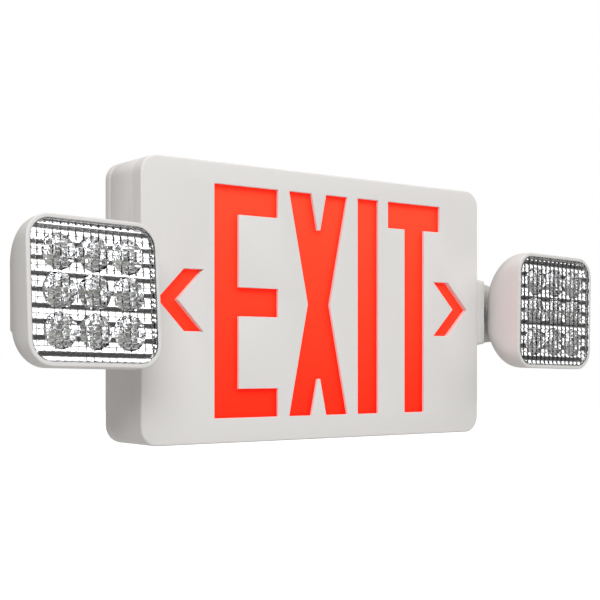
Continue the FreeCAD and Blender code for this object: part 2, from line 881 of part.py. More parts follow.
def test_switch():
    """The test button in the bottom wall, its switch, and the status lamp beside it."""
    x, y = BUTTON_X, S.button_y
    floor = -HALF_H
    inner = floor + S.shell_wall
    flange = rod("+Z", x, y, inner, S.button_flange, S.button_flange_thick)
    cap = rod("+Z", x, y, floor - S.button_proud, S.button_radius, S.shell_wall + S.button_proud + 1)
    stem = rod("+Z", x, y, inner, 1.5, S.button_flange_thick + 1.2)
    node(fuse(flange, cap, stem), "test_button")
    stop = inner + S.button_flange_thick + 1.2 + S.button_travel
    case = box(x - 6, x + 6, y - 6, y + 6, stop, stop + 4)
    foot_left = box(x - 8.5, x - 6, y - 6, y + 6, inner, stop + 4)
    foot_right = box(x + 6, x + 8.5, y - 6, y + 6, inner, stop + 4)
    node(fuse(case, foot_left, foot_right), "test_switch")
    lamp_x = x + S.lamp_offset
    barrel = rod("+Z", lamp_x, y, floor, S.lamp_radius, S.shell_wall + 4)
    flange = rod("+Z", lamp_x, y, inner, S.lamp_radius + 0.6, 1.0)
    dome = ball(lamp_x, y, floor + 1, S.lamp_radius * 0.9)
    node(fuse(barrel, flange, dome), "status_lamp")


# ---------------------------------------------------------------- battery lead

STEPS = {"+X": (1, 0, 0), "+Y": (0, 1, 0), "-Y": (0, -1, 0), "-Z": (0, 0, -1)}


def battery_lead():
    """The lead from the battery's plug to the driver board, laid along the back plate."""
    low_y = PLATE_Y - S.cell_radius * 0.8
    board_left = BOARD_X - S.board_width / 2
    board_top = BOARD_Y - S.board_thick
    x = BATTERY_X + S.cell_length / 2 + S.plug_length
    gap = board_left - x
    rise = low_y - (board_top - S.lead_radius * 3)
    point = [x, low_y, ZERO]
    runs = [
        ("+X", gap / 4),
        ("-Z", S.board_height / 4),
        ("+X", gap * 0.6),
        ("-Y", rise),
        ("+X", gap * 0.15 + S.lead_radius * 4),
        ("+Y", S.lead_radius * 3),
    ]
    pieces = []
    for i, (axis, length) in enumerate(runs):
        if i:
            pieces.append(ball(*point, S.lead_radius))
        pieces.append(rod(axis, *point, S.lead_radius, length))
        point = [c + length * step if step else c for c, step in zip(point, STEPS[axis])]
    node(fuse(*pieces), "battery_lead")


# ---------------------------------------------------------------- arms


def arm(name, side):
    """A hollow arm that carries a lamp head in front of a round-backed cup."""
    body = new_body()
    base_x = side * HALF_W
    neck_x = side * (HALF_W + S.arm_neck_length)
    tip_x = side * ARM_TIP_X
    outline = upright(body, -S.arm_back)
    points = [
        (base_x, -S.arm_base_half),
        (neck_x, -S.arm_neck_half),
        (tip_x, -S.arm_tip_half),
        (tip_x, S.arm_tip_half),
        (neck_x, S.arm_neck_half),
        (base_x, S.arm_base_half),
    ]
    polygon(outline, points)
    block = feature(body, "Pad", outline, S.arm_front - S.arm_back)
    DOC.recompute()
    long_edges = edges_where(block.Shape, lambda e: is_outer_edge(e, side))
    fillet(body, block, long_edges, S.arm_edge_radius)
    cup = circle(new_sketch(body, "XY_Plane"), side * SWIVEL_X, S.swivel_y, S.cup_radius)
    feature(body, "Pocket", cup, S.body_height, midplane=True)
    feature(body, "Pocket", arm_cavity(body, side), S.arm_cavity_half * 2, midplane=True)
    inward, outward = (slot_reach(limit, S.cup_radius) for limit in (S.pan_in, S.pan_out))
    start = S.stud_angle - inward if side < 0 else 180 - S.stud_angle - outward
    slot = DOC.addObject("Part::Cylinder", "Slot")
    half = S.stud_radius + S.stud_clearance
    bind(slot, Radius=S.cup_radius + S.arm_wall + 1, Height=half * 2, Angle=inward + outward)
    place(slot, side * SWIVEL_X, S.swivel_y, -half, yaw=start)
    axis = "+X" if side > 0 else "-X"
    base = side * (HALF_W - 1)
    reach = S.arm_wall + 3
    holes = [rod(axis, base, ARM_Y, ZERO, S.lead_bore_radius, reach)]
    holes += [rod(axis, base, ARM_Y, z * S.arm_screw_z, S.screw_radius, reach) for z in (-1, 1)]
    return node(cut(body, slot, *holes), f"{name}_arm")


def is_outer_edge(edge, side):
    """True for the arm's long front and tip edges, which are rounded."""
    box_ = edge.BoundBox
    at_front = box_.YMax < -SIZES["arm_front"] + 0.01 and box_.XLength > 1
    at_tip = abs(edge.CenterOfMass.x * side - ARM_TIP_X.value) < 0.01 and box_.YLength > 1
    return at_front or at_tip


def slot_reach(limit, radius):
    """How far a slot goes from the stud's middle for a swing, in degrees about the swivel centre."""
    half = S.stud_radius + S.slot_spare
    text = f"({limit.text} + asin({half.text} / {radius.text}) / 1 deg)"
    return Term(text, limit.value + math.degrees(math.asin(half.value / radius.value)))


def arm_cavity(body, side):
    """The plan of the arm's inside: behind the cup's wall, and open to the rear."""
    sketch = new_sketch(body, "XY_Plane")
    radius = S.cup_radius + S.arm_wall
    inner_x = HALF_W + S.arm_wall
    outer_x = ARM_TIP_X - S.arm_wall
    front_y = -S.arm_front + S.arm_wall
    centre_x, centre_y = SWIVEL_X, S.swivel_y
    meet_x = centre_x - root(radius * radius - (front_y - centre_y) * (front_y - centre_y))
    meet_y = centre_y + root(radius * radius - (outer_x - centre_x) * (outer_x - centre_x))
    rear_y = -S.arm_back
    corners = [(outer_x, meet_y), (outer_x, rear_y), (inner_x, rear_y), (inner_x, front_y), (meet_x, front_y)]
    corners = [(side * x, y) for x, y in corners]
    for start, stop in zip(corners, corners[1:]):
        ends = [FreeCAD.Vector(x.value, y.value, 0) for x, y in (start, stop)]
        sketch.addGeometry(Part.LineSegment(*ends), False)
    centre = FreeCAD.Vector(side * centre_x.value, centre_y.value, 0)
    angles = []
    for x, y in (corners[-1], corners[0]):
        angles.append(math.atan2(y.value - centre.y, x.value - centre.x))
    low, high = sorted(angles)
    ring = Part.Circle(centre, FreeCAD.Vector(0, 0, 1), radius.value)
    arc = sketch.addGeometry(Part.ArcOfCircle(ring, low, high), False)
    for i in range(len(corners) - 2):
        sketch.addConstraint(Sketcher.Constraint("Coincident", i, 2, i + 1, 1))
    starts_low = angles[1] == low
    first_end, last_end = (1, 2) if starts_low else (2, 1)
    sketch.addConstraint(Sketcher.Constraint("Coincident", arc, first_end, 0, 1))
    sketch.addConstraint(Sketcher.Constraint("Coincident", arc, last_end, len(corners) - 2, 2))
    for i in range(len(corners) - 1):
        pin_point(sketch, i, 1, *corners[i])
    pin_point(sketch, len(corners) - 2, 2, *corners[-1])
    pin_centre = side * centre_x
    rule = sketch.addConstraint(Sketcher.Constraint("DistanceX", -1, 1, arc, 3, pin_centre.value))
    sketch.renameConstraint(rule, "centre_x")
    sketch.setExpression("Constraints.centre_x", pin_centre.text)
    return sketch


def arm_details(name, side):
    """The arm's rear cover and its screws from inside the housing."""
    inner = S.arm_cavity_half
    x0, x1 = HALF_W + S.arm_wall, ARM_TIP_X - S.arm_wall
    low, high = span(side, x0, x1)
    rear = -S.arm_back
    node(box(low, high, rear - S.arm_cover_thick, rear, -inner, inner), f"{name}_arm_cover")
    axis, back = ("+X", "-X") if side > 0 else ("-X", "+X")
    seat = side * (HALF_W - S.shell_wall)
    screws = []
    for z in (-1, 1):
        head = rod(back, seat, ARM_Y, z * S.arm_screw_z, S.screw_head_radius, S.screw_head)
        shank = rod(axis, seat, ARM_Y, z * S.arm_screw_z, S.screw_radius, S.shell_wall + S.arm_wall)
        screws.append(fuse(head, shank))
    node(group(*screws), f"{name}_arm_screws")


# ---------------------------------------------------------------- swivels

BOWL_OUT = S.bowl_depth - S.bowl_centre
BOWL_IN = BOWL_OUT - S.head_wall


def swivel(name, side):
    """The hollow stud with its nut and washers, which pan with the head in the arm's slot."""
    lean = side * (90 - S.stud_angle)
    carrier = dict(x=side * SWIVEL_X, y=S.swivel_y, yaw=S.head_pan, pitch=S.head_roll)
    cup = S.cup_radius + S.arm_wall
    gap = S.swivel_gap
    saddle_out = BOWL_IN - gap
    saddle_in = saddle_out - S.saddle_thick
    head_in = saddle_in - S.stud_head_thick
    spring_in = cup + gap
    spring_out = spring_in + S.spring_washer_thick
    nut_out = spring_out + S.nut_thick
    stud_hole = S.stud_radius

    shank = along(lean, S.stud_radius, head_in, nut_out + 1)
    flange = along(lean, S.stud_head_radius, head_in, saddle_in)
    bore = along(lean, S.stud_bore, head_in - 1, nut_out + 2)
    finish(cut(fuse(shank, flange), bore), f"{name}_swivel_stud", carrier)

    disc = along(lean, S.saddle_radius, saddle_in, saddle_out + 1)
    dome = ball(ZERO, ZERO, ZERO, saddle_out)
    saddle = cut(common(disc, dome), along(lean, stud_hole, saddle_in - 1, saddle_out + 2))
    finish(saddle, f"{name}_swivel_saddle", carrier)

    disc = along(lean, S.swivel_washer_radius, BOWL_OUT - 4, S.cup_radius + 2)
    drum = DOC.addObject("Part::Cylinder", "Drum")
    bind(drum, Radius=S.cup_radius - gap, Height=S.swivel_washer_radius * 3)
    place(drum, z=S.swivel_washer_radius * -1.5)
    dish = ball(ZERO, ZERO, ZERO, BOWL_OUT + S.swivel_washer_gap)
    washer = cut(common(disc, drum), dish, along(lean, stud_hole, BOWL_OUT - 5, S.cup_radius + 3))
    finish(washer, f"{name}_swivel_washer", carrier)

    ring = along(lean, S.spring_washer_radius, spring_in, spring_out)
    ring = cut(ring, along(lean, stud_hole, spring_in - 1, spring_out + 1))
    finish(ring, f"{name}_spring_washer", carrier)

    nut = DOC.addObject("Part::Prism", "Hexagon")
    nut.Polygon = 6
    bind(nut, Circumradius=S.nut_flats_radius, Height=S.nut_thick)
    point_along(nut, lean, spring_out)
    hexagon = cut(nut, along(lean, stud_hole, spring_out - 1, nut_out + 1))
    finish(hexagon, f"{name}_swivel_nut", carrier)


def along(lean, radius, start, stop):
    """A cylinder between two distances from the swivel centre, along the stud's direction."""
    piece = DOC.addObject("Part::Cylinder", "Rod")
    bind(piece, Radius=radius, Height=Term.of(stop) - Term.of(start))
    return point_along(piece, lean, start)


def point_along(piece, lean, start):
    start = Term.of(start)
    return place(piece, -(start * sine(lean)), start * cosine(lean), ZERO, lean, 0.0, -90.0)


def finish(piece, label, where):
    place(piece, **where)
    return node(piece, label)


# ---------------------------------------------------------------- lamp heads

FACE = -(S.bowl_centre + S.head_band)
# stations of the bowl's sections, as shares of its depth
STATIONS = (0.0, 0.3, 0.55, 0.75, 0.9, 0.97, 0.995)


def head_section(body, station, wall):
    """A section of the bowl: a square that narrows like an ellipse and rounds off with depth."""
    depth = S.bowl_depth - wall
    half = (S.head_half - wall) * root(Term(repr(1 - station * station), 1 - station * station))
    share = S.head_square + (1 - S.head_square) * power(Term.of(station), S.head_round_power)
    sketch = upright(body, depth * station - S.bowl_centre)
    return rounded(sketch, half, half, half * share)


def head_square(body, y, inset):
    half = S.head_half - inset
    return rounded(upright(body, y), half, half, S.head_half * S.head_square - inset)


def deep_square(body, y, inset):
    """The head's outline further in, with the rounder corners that the bowl leaves room for."""
    half = S.head_half - inset
    return rounded(upright(body, y), half, half, S.head_half * S.head_square)


def head_shell(name, side, where):
    """The bowl: a short square band, a domed back, a lens seat, and the slot for the stud."""
    body = new_body()
    front = -S.bowl_centre
    feature(body, "Pad", head_square(body, front, ZERO), S.head_band)
    loft(body, "AdditiveLoft", [head_section(body, s, ZERO) for s in STATIONS])
    feature(body, "Pocket", head_square(body, FACE, S.rim_width), S.lens_thick)
    feature(body, "Pocket", head_square(body, FACE, S.head_wall), S.head_band)
    loft(body, "SubtractiveLoft", [head_section(body, s, S.head_wall) for s in STATIONS])
    slot = DOC.addObject("Part::Cylinder", "Slot")
    half_angle = slot_reach(S.tilt_limit, BOWL_OUT)
    width = (S.stud_radius + S.slot_spare) * 2
    bind(slot, Radius=S.bowl_depth, Height=width, Angle=half_angle * 2)
    middle = -side * BOWL_OUT * cosine(S.stud_angle)
    place(slot, middle - width / 2, ZERO, ZERO, yaw=90.0, pitch=half_angle, roll=90.0)
    finish(cut(body, slot), f"{name}_head_shell", where)


def lens(name, where):
    """A clear lens with upright flutes on its inner side and cross ribs on its face."""
    body = new_body()
    plate = head_square(body, FACE + S.lens_thick, S.rim_width + S.lens_clearance)
    pad = feature(body, "Pad", plate, S.lens_thick + S.lens_proud)
    DOC.recompute()
    face_y = (FACE - S.lens_proud).value
    front = edges_where(pad.Shape, lambda e: abs(e.CenterOfMass.y - face_y) < 0.01)
    fillet(body, pad, front, S.lens_proud)
    inner = S.head_half - S.rim_width - S.flute_pitch
    flute = new_sketch(body, "XY_Plane")
    x = S.flute_pitch * (1 - S.flute_count) / 2
    base = FACE + S.lens_thick
    points = [(x - S.flute_pitch * 0.4, base), (x, base - S.flute_depth), (x + S.flute_pitch * 0.4, base)]
    polygon(flute, points)
    groove = feature(body, "Pocket", flute, inner * 2, midplane=True)
    row = body.newObject("PartDesign::LinearPattern", "Flutes")
    row.Originals = [groove]
    row.Direction = (flute, ["H_Axis"])
    row.setExpression("Length", (S.flute_pitch * (S.flute_count - 1)).text)
    row.Occurrences = SIZES["flute_count"]
    body.Tip = row
    finish(body, f"{name}_lens", where)


def cup_places():
    return [(S.cup_pitch * i, S.cup_pitch * k) for i in (-1, 0, 1) for k in (-1, 0, 1)]


REFLECTOR_Y = FACE + S.lens_thick
CUP_END = REFLECTOR_Y + S.reflector_thick


def reflector(name, where):
    """A bright moulding: a flange with nine tapered cups and four screw bosses behind it."""
    body = new_body()
    flange_back = REFLECTOR_Y + S.reflector_flange
    flange = head_square(body, flange_back, S.head_wall + S.lens_clearance)
    feature(body, "Pad", flange, S.reflector_flange)
    height = CUP_END - REFLECTOR_Y
    rise = (S.cup_mouth - S.cup_base) / height
    outsides, tools = [], []
    for x, z in cup_places():
        mouth = S.cup_mouth + S.cup_wall - rise
        outsides.append(rod("-Y", x, CUP_END, z, S.cup_base + S.cup_wall, height - 1, mouth))
        tools.append(rod("-Y", x, CUP_END + 1, z, S.cup_base - rise, height + 2, S.cup_mouth + rise))
    for x, z in head_screw_places():
        outsides.append(rod("-Y", x, CUP_END, z, S.screw_head_radius, height - 1))
        tools.append(rod("-Y", x, CUP_END + 1, z, S.screw_radius, S.head_screw_length))
    finish(cut(fuse(body, *outsides), *tools), f"{name}_reflector", where)


def head_screw_places():
    """The four points midway between the corner cups and the middle one."""
    return [(sx * S.cup_pitch / 2, sz * S.cup_pitch / 2) for sx in (-1, 1) for sz in (-1, 1)]


def head_board(name, where):
    """The LED board behind the cups, its nine LEDs and its screws."""
    body = new_body()
    back = CUP_END + S.board_thick
    feature(body, "Pad", deep_square(body, back, S.head_board_inset), S.board_thick)
    holes = [rod("-Y", x, back + 1, z, S.screw_radius, S.board_thick + 2) for x, z in head_screw_places()]
    finish(cut(body, *holes), f"{name}_head_board", where)
    screws = []
    for x, z in head_screw_places():
        head = rod("+Y", x, back, z, S.screw_head_radius, S.screw_head)
        shank = rod("-Y", x, back, z, S.screw_radius, S.head_screw_length)
        screws.append(fuse(head, shank))
    finish(group(*screws), f"{name}_head_screws", where)
    chips = []
    for x, z in cup_places():
        stem = rod("-Y", x, CUP_END, z, S.head_led_radius, S.head_led_height)
        dome = ball(x, CUP_END - S.head_led_height, z, S.head_led_radius)
        chips.append(fuse(stem, dome))
    finish(group(*chips), f"{name}_head_leds", where)


def lamp_head(name, side, tilt):
    where = dict(x=side * SWIVEL_X, y=S.swivel_y, yaw=S.head_pan, pitch=S.head_roll, roll=tilt)
    head_shell(name, side, where)
    lens(name, where)
    reflector(name, where)
    head_board(name, where)


# ---------------------------------------------------------------- build


def check_and_write():
    """Stops on a failed feature, then writes each sub-part's solids."""
    DOC.recompute()
    for obj in DOC.Objects:
        if "Invalid" in obj.State or "Error" in obj.State:
            raise RuntimeError(f"{obj.Label} failed: {obj.State}")
    os.makedirs("parts", exist_ok=True)
    for obj in NODES:
        shape = obj.Shape
        if shape.isNull() or not shape.isValid() or not shape.Solids:
            raise RuntimeError(f"{obj.Label} has no valid solid")
        shape.exportStep(f"parts/{obj.Label}.step")


def main():
    front_cover()
    housing_frame()
    back_plate()
    frame_screws()
    legend_panel()
    light_box()
    posts = [(sx * POST_X, sz * POST_Z) for sx in (-1, 1) for sz in (-1, 1)]
    screws_from_front("light_box_screws", posts, BOX_BACK_Y - S.box_wall, S.screw_length - 2)
    sign_leds()
    driver()
    battery()
    test_switch()
    battery_lead()
    for name, side in SIDES.items():
        arm(name, side)
        arm_details(name, side)
        swivel(name, side)
        lamp_head(name, side, getattr(S, f"{name}_tilt"))
    check_and_write()


main()
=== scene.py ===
"""Emergency exit light: the finished look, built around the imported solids."""

from __future__ import annotations

import json
import logging
import math
from dataclasses import dataclass
from enum import Enum
from typing import Iterable, Sequence

import bmesh
import bpy
import numpy as np
from mathutils import Matrix, Vector
from mathutils.geometry import tessellate_polygon

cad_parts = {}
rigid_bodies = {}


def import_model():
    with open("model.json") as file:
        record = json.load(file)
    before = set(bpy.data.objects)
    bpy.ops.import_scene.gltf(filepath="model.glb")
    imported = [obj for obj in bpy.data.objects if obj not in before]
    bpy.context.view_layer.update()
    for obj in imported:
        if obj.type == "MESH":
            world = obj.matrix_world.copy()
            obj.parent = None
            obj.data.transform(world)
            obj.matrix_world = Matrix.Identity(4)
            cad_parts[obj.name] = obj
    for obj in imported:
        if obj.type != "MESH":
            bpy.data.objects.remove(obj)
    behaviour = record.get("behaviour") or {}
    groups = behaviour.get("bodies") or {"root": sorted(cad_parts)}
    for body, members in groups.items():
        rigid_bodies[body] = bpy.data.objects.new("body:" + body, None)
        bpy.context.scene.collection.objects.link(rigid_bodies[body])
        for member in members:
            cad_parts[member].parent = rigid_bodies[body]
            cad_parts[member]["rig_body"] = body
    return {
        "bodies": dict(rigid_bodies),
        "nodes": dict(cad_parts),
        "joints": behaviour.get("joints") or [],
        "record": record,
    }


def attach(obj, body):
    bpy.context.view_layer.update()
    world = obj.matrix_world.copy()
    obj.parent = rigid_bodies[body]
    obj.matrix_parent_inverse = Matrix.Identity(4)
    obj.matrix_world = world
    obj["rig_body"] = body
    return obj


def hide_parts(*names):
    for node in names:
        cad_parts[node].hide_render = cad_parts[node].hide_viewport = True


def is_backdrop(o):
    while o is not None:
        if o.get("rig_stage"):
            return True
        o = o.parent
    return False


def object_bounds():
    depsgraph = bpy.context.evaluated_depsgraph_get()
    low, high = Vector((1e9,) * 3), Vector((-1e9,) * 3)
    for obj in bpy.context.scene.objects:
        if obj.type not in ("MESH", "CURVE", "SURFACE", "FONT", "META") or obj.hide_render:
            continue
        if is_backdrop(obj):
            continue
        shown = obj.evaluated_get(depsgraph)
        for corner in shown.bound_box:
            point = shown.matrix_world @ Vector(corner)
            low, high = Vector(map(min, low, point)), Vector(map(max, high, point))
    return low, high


MM = 0.001
LOG = logging.getLogger("exit_light")


class Slot(Enum):
    """The record's material slots."""

    HOUSING = "housing_white"
    HEAD = "head_white"
    LIGHT_BOX = "reflective_white"
    LEGEND = "legend_red"
    LENS = "clear_lens"
    REFLECTOR = "bright_reflector"
    BOARD_WHITE = "board_white"
    BOARD_GREEN = "board_green"
    WHITE_LED = "white_led"
    RED_LED = "red_led"
    CORE = "steel_core"
    CAN = "capacitor_can"
    DARK = "dark_plastic"
    TERMINAL = "terminal_plastic"
    WRAP = "battery_wrap"
    ZINC = "zinc_steel"
    LEAD = "lead_red"
    BUTTON = "button_white"
    LAMP = "lamp_red"


class Side(Enum):
    """The two lamp heads, with the sign of their X."""

    LEFT = ("left", -1)
    RIGHT = ("right", 1)

    @property
    def word(self) -> str:
        """The side's name in node and body names."""
        return self.value[0]

    @property
    def sign(self) -> int:
        """-1 on the left, 1 on the right."""
        return self.value[1]


# ---------------------------------------------------------------- meshes


def loops_to_mesh(name: str, points: np.ndarray, wrap: bool = True) -> bpy.types.Mesh:
    """Makes a mesh of quads from rows of points.

    Args:
        name: the mesh's name.
        points: rows by columns by 3, in metres.
        wrap: whether each row closes on itself.

    Returns:
        The mesh, flat-shaded; points that coincide stay apart.
    """
    rows, columns = points.shape[:2]
    last = columns if wrap else columns - 1
    row = np.arange(rows - 1)[:, None]
    column = np.arange(last)[None, :]
    following = (column + 1) % columns
    here, below = row * columns, (row + 1) * columns
    corners = [here + column, here + following, below + following, below + column]
    quads = np.stack(corners, axis=-1).reshape(-1, 4)
    mesh = bpy.data.meshes.new(name)
    mesh.from_pydata(points.reshape(-1, 3).tolist(), [], quads.tolist())
    return mesh


def join_meshes(name: str, meshes: Sequence[bpy.types.Mesh], merge: float = 2e-6) -> bpy.types.Mesh:
    """Joins meshes into one, merges its doubles and turns its faces outwards.

    Args:
        name: the new mesh's name.
        meshes: the meshes to join; they are removed.
        merge: the distance within which points are merged, in metres.

    Returns:
        The joined mesh.
    """
    work = bmesh.new()
    for mesh in meshes:
        work.from_mesh(mesh)
        bpy.data.meshes.remove(mesh)
    bmesh.ops.remove_doubles(work, verts=work.verts, dist=merge)
    bmesh.ops.dissolve_degenerate(work, edges=work.edges, dist=merge / 4)
    bmesh.ops.recalc_face_normals(work, faces=work.faces)
    joined = bpy.data.meshes.new(name)
    work.to_mesh(joined)
    work.free()
    return joined


def shade(mesh: bpy.types.Mesh, angle: float = 32.0) -> None:
    """Shades a mesh smooth, with a crease at each edge that turns by more than an angle in degrees."""
    work = bmesh.new()
    work.from_mesh(mesh)
    for face in work.faces:
        face.smooth = True
    limit = math.radians(angle)
    for edge in work.edges:
        edge.smooth = len(edge.link_faces) == 2 and edge.calc_face_angle(0.0) < limit
    work.to_mesh(mesh)
    work.free()


def as_object(name: str, mesh: bpy.types.Mesh) -> bpy.types.Object:
    """Links a mesh to the scene as an object at the origin."""
    made = bpy.data.objects.new(name, mesh)
    bpy.context.scene.collection.objects.link(made)
    return made


def apply_modifiers(item: bpy.types.Object) -> None:
    """Gives an object its modified mesh and clears its modifiers."""
    bpy.context.view_layer.update()
    graph = bpy.context.evaluated_depsgraph_get()
    finished = bpy.data.meshes.new_from_object(item.evaluated_get(graph))
    item.modifiers.clear()
    item.data = finished


def square_loop(half_x: float, half_z: float, radius: float, arc: int = 14, side: int = 14) -> np.ndarray:
    """A rounded rectangle: four quarter circles joined by straight runs.

    Args:
        half_x: half the width.
        half_z: half the height.
        radius: the corner radius.
        arc: points on each corner.
        side: points on each straight run.

    Returns:
        An array of points by 2, anticlockwise from the right.
    """
    turns = np.radians(np.array([0.0, 90.0, 180.0, 270.0]))
    signs = np.array([[1, 1], [-1, 1], [-1, -1], [1, -1]], float)
    centres = signs * np.array([half_x - radius, half_z - radius])
    angle = turns[:, None] + np.linspace(0, math.pi / 2, arc)[None, :]
    arcs = centres[:, None, :] + radius * np.stack([np.cos(angle), np.sin(angle)], axis=-1)
    share = (np.arange(1, side + 1) / (side + 1))[None, :, None]
    runs = arcs[:, -1:, :] * (1 - share) + np.roll(arcs, -1, axis=0)[:, :1, :] * share
    return np.concatenate([arcs, runs], axis=1).reshape(-1, 2)


def grow_outline(outline: np.ndarray, distance: float) -> np.ndarray:
    """Moves each side of a closed outline outwards: a corner goes along its mitre line.

    Args:
        outline: points by 2, anticlockwise.
        distance: how far, in the outline's units; negative draws it in.

    Returns:
        The new outline, with the same number of points.
    """
    run = np.roll(outline, -1, axis=0) - outline
    run /= np.linalg.norm(run, axis=1, keepdims=True)
    out = np.stack([run[:, 1], -run[:, 0]], axis=1)
    before = np.roll(out, 1, axis=0)
    mitre = (out + before) / (1 + np.sum(out * before, axis=1, keepdims=True))
    return outline + distance * mitre


def flat_sheet(name: str, outlines: Sequence[np.ndarray], y: float) -> bpy.types.Mesh:
    """A flat sheet at depth y: the first outline filled, less the others.

    Args:
        name: the mesh's name.
        outlines: arrays of points by 2, in X and Z.
        y: the depth in the same units.

    Returns:
        The filled mesh in metres.
    """
    loops = [[Vector((x, z, 0.0)) for x, z in outline] for outline in outlines]
    triangles = tessellate_polygon(loops)
    flat = np.concatenate(outlines)
    points = np.stack([flat[:, 0], np.full(len(flat), y), flat[:, 1]], axis=1) * MM
    mesh = bpy.data.meshes.new(name)
    mesh.from_pydata(points.tolist(), [], [tuple(t) for t in triangles])
    return mesh


def swept_strip(name: str, outlines: Sequence[np.ndarray], depths: Sequence[float]) -> bpy.types.Mesh:
    """A strip through a row of outlines, each at its own depth.

    Args:
        name: the mesh's name.
        outlines: arrays of points by 2 with equal counts, in X and Z.
        depths: each outline's Y.

    Returns:
        The strip's mesh in metres.
    """
    rows = [np.stack([o[:, 0], np.full(len(o), y), o[:, 1]], axis=1) for o, y in zip(outlines, depths)]
    return loops_to_mesh(name, np.array(rows) * MM)


# ---------------------------------------------------------------- shared effects

COLOUR, NUMBER = "NodeSocketColor", "NodeSocketFloat"
NodeRun = tuple[bpy.types.Node, str, bpy.types.Node, str | int]


def wire(tree: bpy.types.NodeTree, *runs: NodeRun) -> None:
    """Links nodes: each run is a node, its output, the next node and its input."""
    for source, output, target, taken in runs:
        tree.links.new(source.outputs[output], target.inputs[taken])


def set_inputs(node: bpy.types.Node, values: dict[str, object]) -> None:
    """Sets a node's inputs by name."""
    for name, value in values.items():
        node.inputs[name].default_value = value


class Effects:
    """The shader node groups that the finishes share."""

    def __init__(self) -> None:
        self.moulded = self.make_moulded()
        self.brushed = self.make_brushed()

    @staticmethod
    def new_group(
        name: str, inputs: dict[str, tuple[str, object]]
    ) -> tuple[bpy.types.NodeTree, bpy.types.Node, bpy.types.Node]:
        """Makes a group that gives a colour, a roughness and a height.

        Args:
            name: the group's name.
            inputs: socket name to its type and default value.

        Returns:
            The group, the node with its inputs and the node with its outputs.
        """
        group = bpy.data.node_groups.new(name, "ShaderNodeTree")
        for label, (kind, value) in inputs.items():
            socket = group.interface.new_socket(name=label, in_out="INPUT", socket_type=kind)
            socket.default_value = value
        for label, kind in (("Colour", COLOUR), ("Roughness", NUMBER), ("Height", NUMBER)):
            group.interface.new_socket(name=label, in_out="OUTPUT", socket_type=kind)
        return group, group.nodes.new("NodeGroupInput"), group.nodes.new("NodeGroupOutput")

    @classmethod
    def make_moulded(cls) -> bpy.types.NodeTree:
        """Moulded plastic: a cloudy drift of colour, a slow change of gloss, and a fine eroded grain."""
        group, given, result = cls.new_group(
            "moulded_surface",
            {
                "Colour": (COLOUR, (0.8, 0.8, 0.8, 1.0)),
                "Cloud Colour": (COLOUR, (0.7, 0.7, 0.7, 1.0)),
                "Cloud Scale": (NUMBER, 12.0),
                "Grain Scale": (NUMBER, 1800.0),
                "Gloss Low": (NUMBER, 0.4),
                "Gloss High": (NUMBER, 0.5),
            },
        )
        nodes = group.nodes
        place = nodes.new("ShaderNodeTexCoord")
        cloud = nodes.new("ShaderNodeTexNoise")
        set_inputs(cloud, {"Detail": 3.0})
        grain = nodes.new("ShaderNodeTexNoise")
        set_inputs(grain, {"Detail": 2.0})
        dimple = nodes.new("ShaderNodeTexVoronoi")
        mix = nodes.new("ShaderNodeMix")
        mix.data_type = "RGBA"
        gloss = nodes.new("ShaderNodeMapRange")
        set_inputs(gloss, {"From Min": 0.3, "From Max": 0.7})
        height = nodes.new("ShaderNodeMath")
        height.operation = "MULTIPLY_ADD"
        height.inputs[1].default_value = 0.35
        wire(
            group,
            (place, "Object", cloud, "Vector"),
            (place, "Object", grain, "Vector"),
            (place, "Object", dimple, "Vector"),
            (given, "Cloud Scale", cloud, "Scale"),
            (given, "Grain Scale", grain, "Scale"),
            (given, "Grain Scale", dimple, "Scale"),
            (cloud, "Fac", mix, "Factor"),
            (given, "Colour", mix, "A"),
            (given, "Cloud Colour", mix, "B"),
            (cloud, "Fac", gloss, "Value"),
            (given, "Gloss Low", gloss, "To Min"),
            (given, "Gloss High", gloss, "To Max"),
            (dimple, "Distance", height, 0),
            (grain, "Fac", height, 2),
            (mix, "Result", result, "Colour"),
            (gloss, "Result", result, "Roughness"),
            (height, "Value", result, "Height"),
        )
        return group

    @classmethod
    def make_brushed(cls) -> bpy.types.NodeTree:
        """Metal: fine streaks along X that vary the gloss and the height, and a faint stain."""
        group, given, result = cls.new_group(
            "brushed_surface",
            {
                "Colour": (COLOUR, (0.6, 0.6, 0.6, 1.0)),
                "Stain Colour": (COLOUR, (0.5, 0.5, 0.48, 1.0)),
                "Streak Scale": (NUMBER, 900.0),
                "Gloss Low": (NUMBER, 0.25),
                "Gloss High": (NUMBER, 0.4),
            },
        )
        nodes = group.nodes
        place = nodes.new("ShaderNodeTexCoord")
        stretch = nodes.new("ShaderNodeMapping")
        set_inputs(stretch, {"Scale": (0.04, 1.0, 1.0)})
        streak = nodes.new("ShaderNodeTexNoise")
        stain = nodes.new("ShaderNodeTexNoise")
        set_inputs(stain, {"Scale": 60.0})
        mix = nodes.new("ShaderNodeMix")
        mix.data_type = "RGBA"
        gloss = nodes.new("ShaderNodeMapRange")
        wire(
            group,
            (place, "Object", stretch, "Vector"),
            (stretch, "Vector", streak, "Vector"),
            (place, "Object", stain, "Vector"),
            (given, "Streak Scale", streak, "Scale"),
            (stain, "Fac", mix, "Factor"),
            (given, "Colour", mix, "A"),
            (given, "Stain Colour", mix, "B"),
            (streak, "Fac", gloss, "Value"),
            (given, "Gloss Low", gloss, "To Min"),
            (given, "Gloss High", gloss, "To Max"),
            (mix, "Result", result, "Colour"),
            (gloss, "Result", result, "Roughness"),
            (streak, "Fac", result, "Height"),
        )
        return group


# ---------------------------------------------------------------- finishes

GRAIN_DEPTH = 0.0001
STREAK_DEPTH = 0.00005
Colour = tuple[float, float, float]


def rgba(colour: Sequence[float]) -> tuple[float, float, float, float]:
    """A linear colour with full alpha."""
    return (colour[0], colour[1], colour[2], 1.0)


